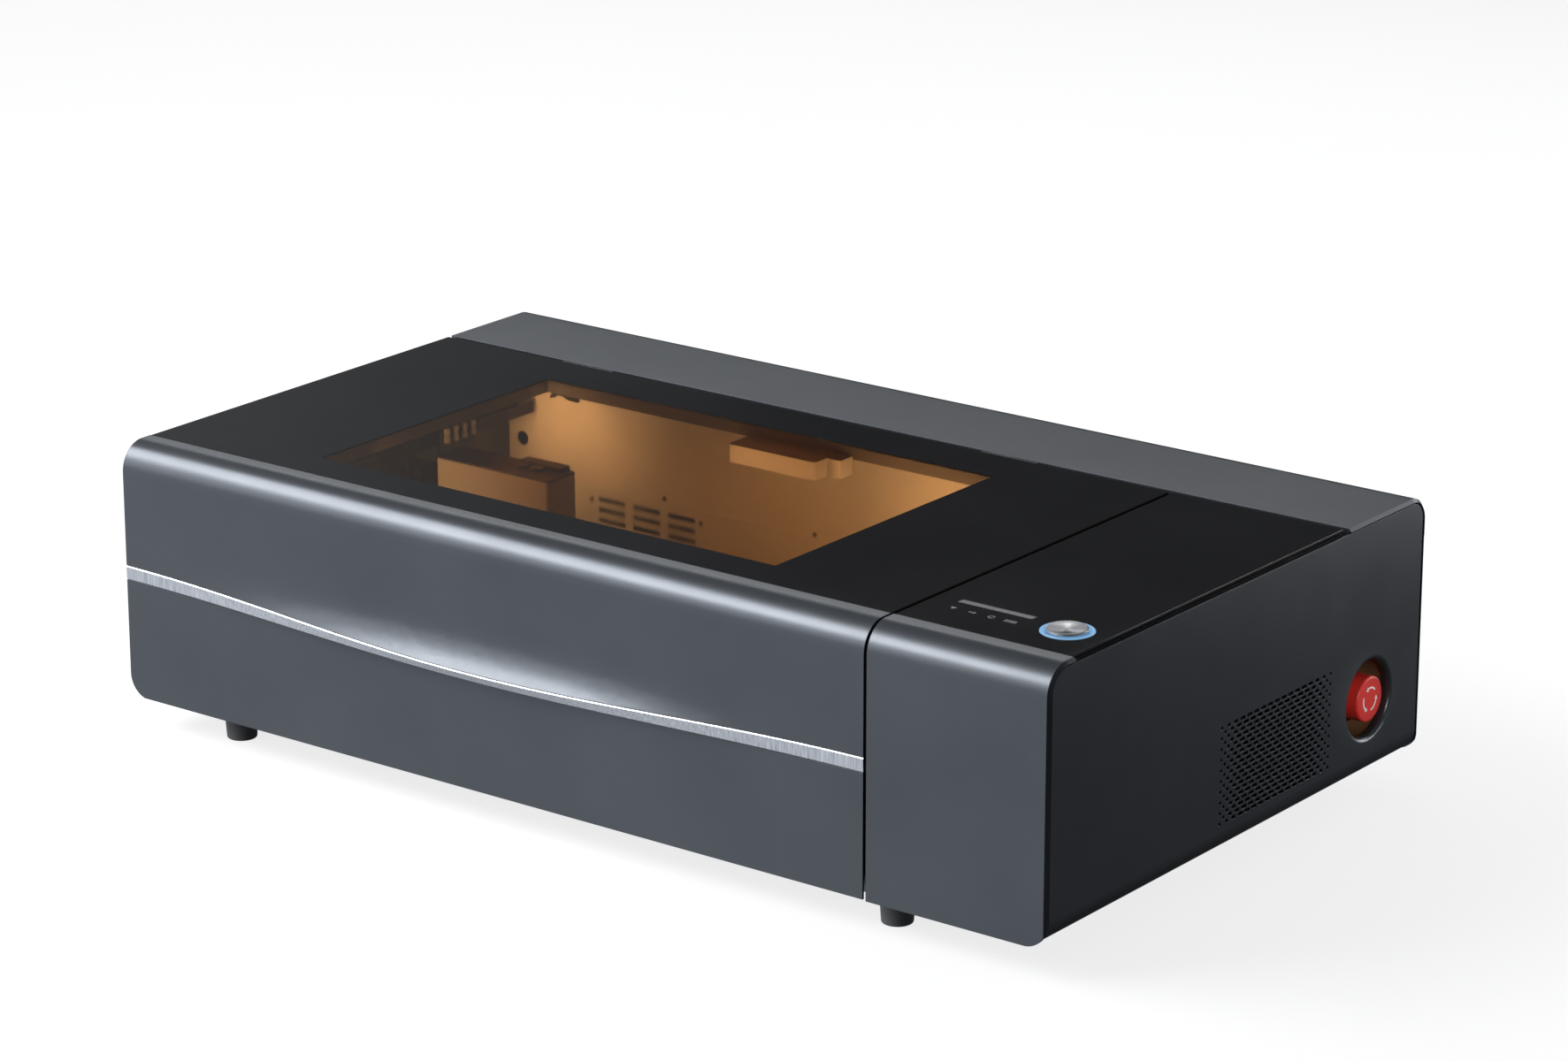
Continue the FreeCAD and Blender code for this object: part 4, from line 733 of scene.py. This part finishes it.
def paper_floor():
    """Pale floor that takes shadows and is left out of what the object mirrors and is lit by."""
    look = Look("floor_paper", (0.60, 0.60, 0.60), roughness=0.9,
                Emission_Color=(1.0, 1.0, 1.0, 1.0), Emission_Strength=0.80)
    look.tint(look.noise(1.5, 3.0), (0.29, 0.29, 0.29), (0.31, 0.31, 0.31))
    mesh = bmesh.new()
    corners = [mesh.verts.new((sx * FLOOR_HALF, sy * FLOOR_HALF, 0.0))
               for sx, sy in ((-1, -1), (1, -1), (1, 1), (-1, 1))]
    mesh.faces.new(corners)
    data = bpy.data.meshes.new("floor")
    mesh.to_mesh(data)
    mesh.free()
    data.materials.append(look.material)
    floor = bpy.data.objects.new("floor", data)
    floor.visible_glossy = False
    floor.visible_diffuse = False
    bpy.context.scene.collection.objects.link(floor)


def softbox(name, place, target, size, radiance, color=(1.0, 1.0, 1.0), unseen=False):
    """An area light of a given brightness, hidden from the camera.

    An unseen one is left out of reflections and views through glass as well."""
    light = bpy.data.lights.new(name, "AREA")
    light.shape = "RECTANGLE"
    light.size, light.size_y = size
    light.energy = radiance * math.pi * size[0] * size[1]
    light.color = color
    made = bpy.data.objects.new(name, light)
    made.location = place
    made.rotation_euler = (Vector(target) - Vector(place)).to_track_quat("-Z", "Y").to_euler()
    made.visible_camera = False
    made.visible_glossy = not unseen
    made.visible_transmission = not unseen
    bpy.context.scene.collection.objects.link(made)


def narrow_lamp(name, place, target, angle, power):
    """A spot that fills one small hollow."""
    light = bpy.data.lights.new(name, "SPOT")
    light.energy = power
    light.spot_size = math.radians(angle)
    light.spot_blend = 0.35
    light.shadow_soft_size = 0.02
    made = bpy.data.objects.new(name, light)
    made.location = place
    made.rotation_euler = (Vector(target) - Vector(place)).to_track_quat("-Z", "Y").to_euler()
    bpy.context.scene.collection.objects.link(made)


def studio_world():
    """Dim room, brighter low on the front left; the camera itself sees a pale backdrop."""
    world = bpy.data.worlds.new("studio")
    world.use_nodes = True
    tree = world.node_tree
    background = tree.nodes["Background"]
    background.inputs["Color"].default_value = (0.86, 0.90, 0.96, 1.0)
    where = tree.nodes.new("ShaderNodeTexCoord")
    toward = tree.nodes.new("ShaderNodeVectorMath")
    toward.operation = "DOT_PRODUCT"
    toward.inputs[1].default_value = GLOW_TOWARD
    tree.links.new(where.outputs["Generated"], toward.inputs[0])
    half = tree.nodes.new("ShaderNodeMath")
    half.operation = "MULTIPLY_ADD"
    half.inputs[1].default_value = 0.5
    half.inputs[2].default_value = 0.5
    tree.links.new(toward.outputs["Value"], half.inputs[0])
    glow = tree.nodes.new("ShaderNodeValToRGB")
    stops = glow.color_ramp.elements
    stops[0].position = GLOW_STOPS[0][0]
    stops[1].position = GLOW_STOPS[-1][0]
    for position, _ in GLOW_STOPS[1:-1]:
        stops.new(position)
    for stop, (_, level) in zip(stops, GLOW_STOPS):
        stop.color = (level, level, level, 1.0)
    tree.links.new(half.outputs["Value"], glow.inputs["Fac"])
    path = tree.nodes.new("ShaderNodeLightPath")
    pale = tree.nodes.new("ShaderNodeMath")
    pale.operation = "MAXIMUM"
    tree.links.new(glow.outputs["Color"], pale.inputs[0])
    tree.links.new(path.outputs["Is Camera Ray"], pale.inputs[1])
    tree.links.new(pale.outputs["Value"], background.inputs["Strength"])
    bpy.context.scene.world = world


def photo_camera():
    data = bpy.data.cameras.new("camera")
    data.lens = CAMERA_LENS
    data.sensor_width = 36.0
    made = bpy.data.objects.new("camera", data)
    made.location = CAMERA_PLACE
    made.rotation_euler = (math.radians(90.0 - CAMERA_DOWN), 0.0, math.radians(CAMERA_ROUND))
    bpy.context.scene.collection.objects.link(made)
    bpy.context.scene.camera = made


lid_glass_border()
lid_glass_pane()
button_cap()
light_ring()
status_bar()
status_hatch()
control_marks()
stop_arrows()
paper_floor()
studio_world()
photo_camera()
bpy.context.scene.view_settings.view_transform = "Standard"
softbox("roll_strip", (-1.85, -1.60, 2.22), (0.0, -0.28, 0.2), (2.6, 1.10), 7.6)
softbox("lip_fill", (-1.73, -2.20, 1.70), (0.0, -0.28, 0.2), (2.6, 0.7), 3.0)
softbox("lip_low", (-1.95, -2.45, 1.00), (0.0, -0.28, 0.15), (2.2, 0.8), 1.1)
softbox("overhead", (0.3, 0.9, 3.0), (0.0, 0.0, 0.0), (2.0, 1.6), 0.4)
softbox("rear_left", (-1.95, 2.53, 1.82), (-1.5, 0.0, 0.1), (2.7, 0.42), 3.0)
softbox("side_rear", (1.10, 1.15, 0.20), (0.5, 0.27, 0.12), (0.7, 0.30), 6.2)
narrow_lamp("recess_lamp", (1.75, -0.60, 0.56), at(985.0, 489.0, 72.0), 2.7, 52.0)
softbox("rear_fill", (0.9, 3.0, 1.2), (0.0, 0.3, 0.1), (1.8, 1.2), 2.2)


# ---- lamps of the chamber ----
CHAMBER_LAMPS = {
    "chamber_lamp_left": ((160.0, 345.0, 200.0), (150.0, 430.0, 160.0), (0.08, 0.02), 27.0),
    "chamber_lamp_right": ((650.0, 330.0, 205.0), (640.0, 430.0, 165.0), (0.20, 0.02), 21.0),
    "chamber_lamp_front": ((168.0, 132.0, 190.0), (168.0, 262.0, 160.0), (0.06, 0.03), 20.0),
    "chamber_lamp_middle": ((440.0, 250.0, 196.0), (450.0, 354.0, 217.0), (0.08, 0.02), 21.0),
}
for lamp, (spot, aim, size, radiance) in CHAMBER_LAMPS.items():
    softbox(lamp, at(*spot), at(*aim), size, radiance, CHAMBER_LIGHT, unseen=True)
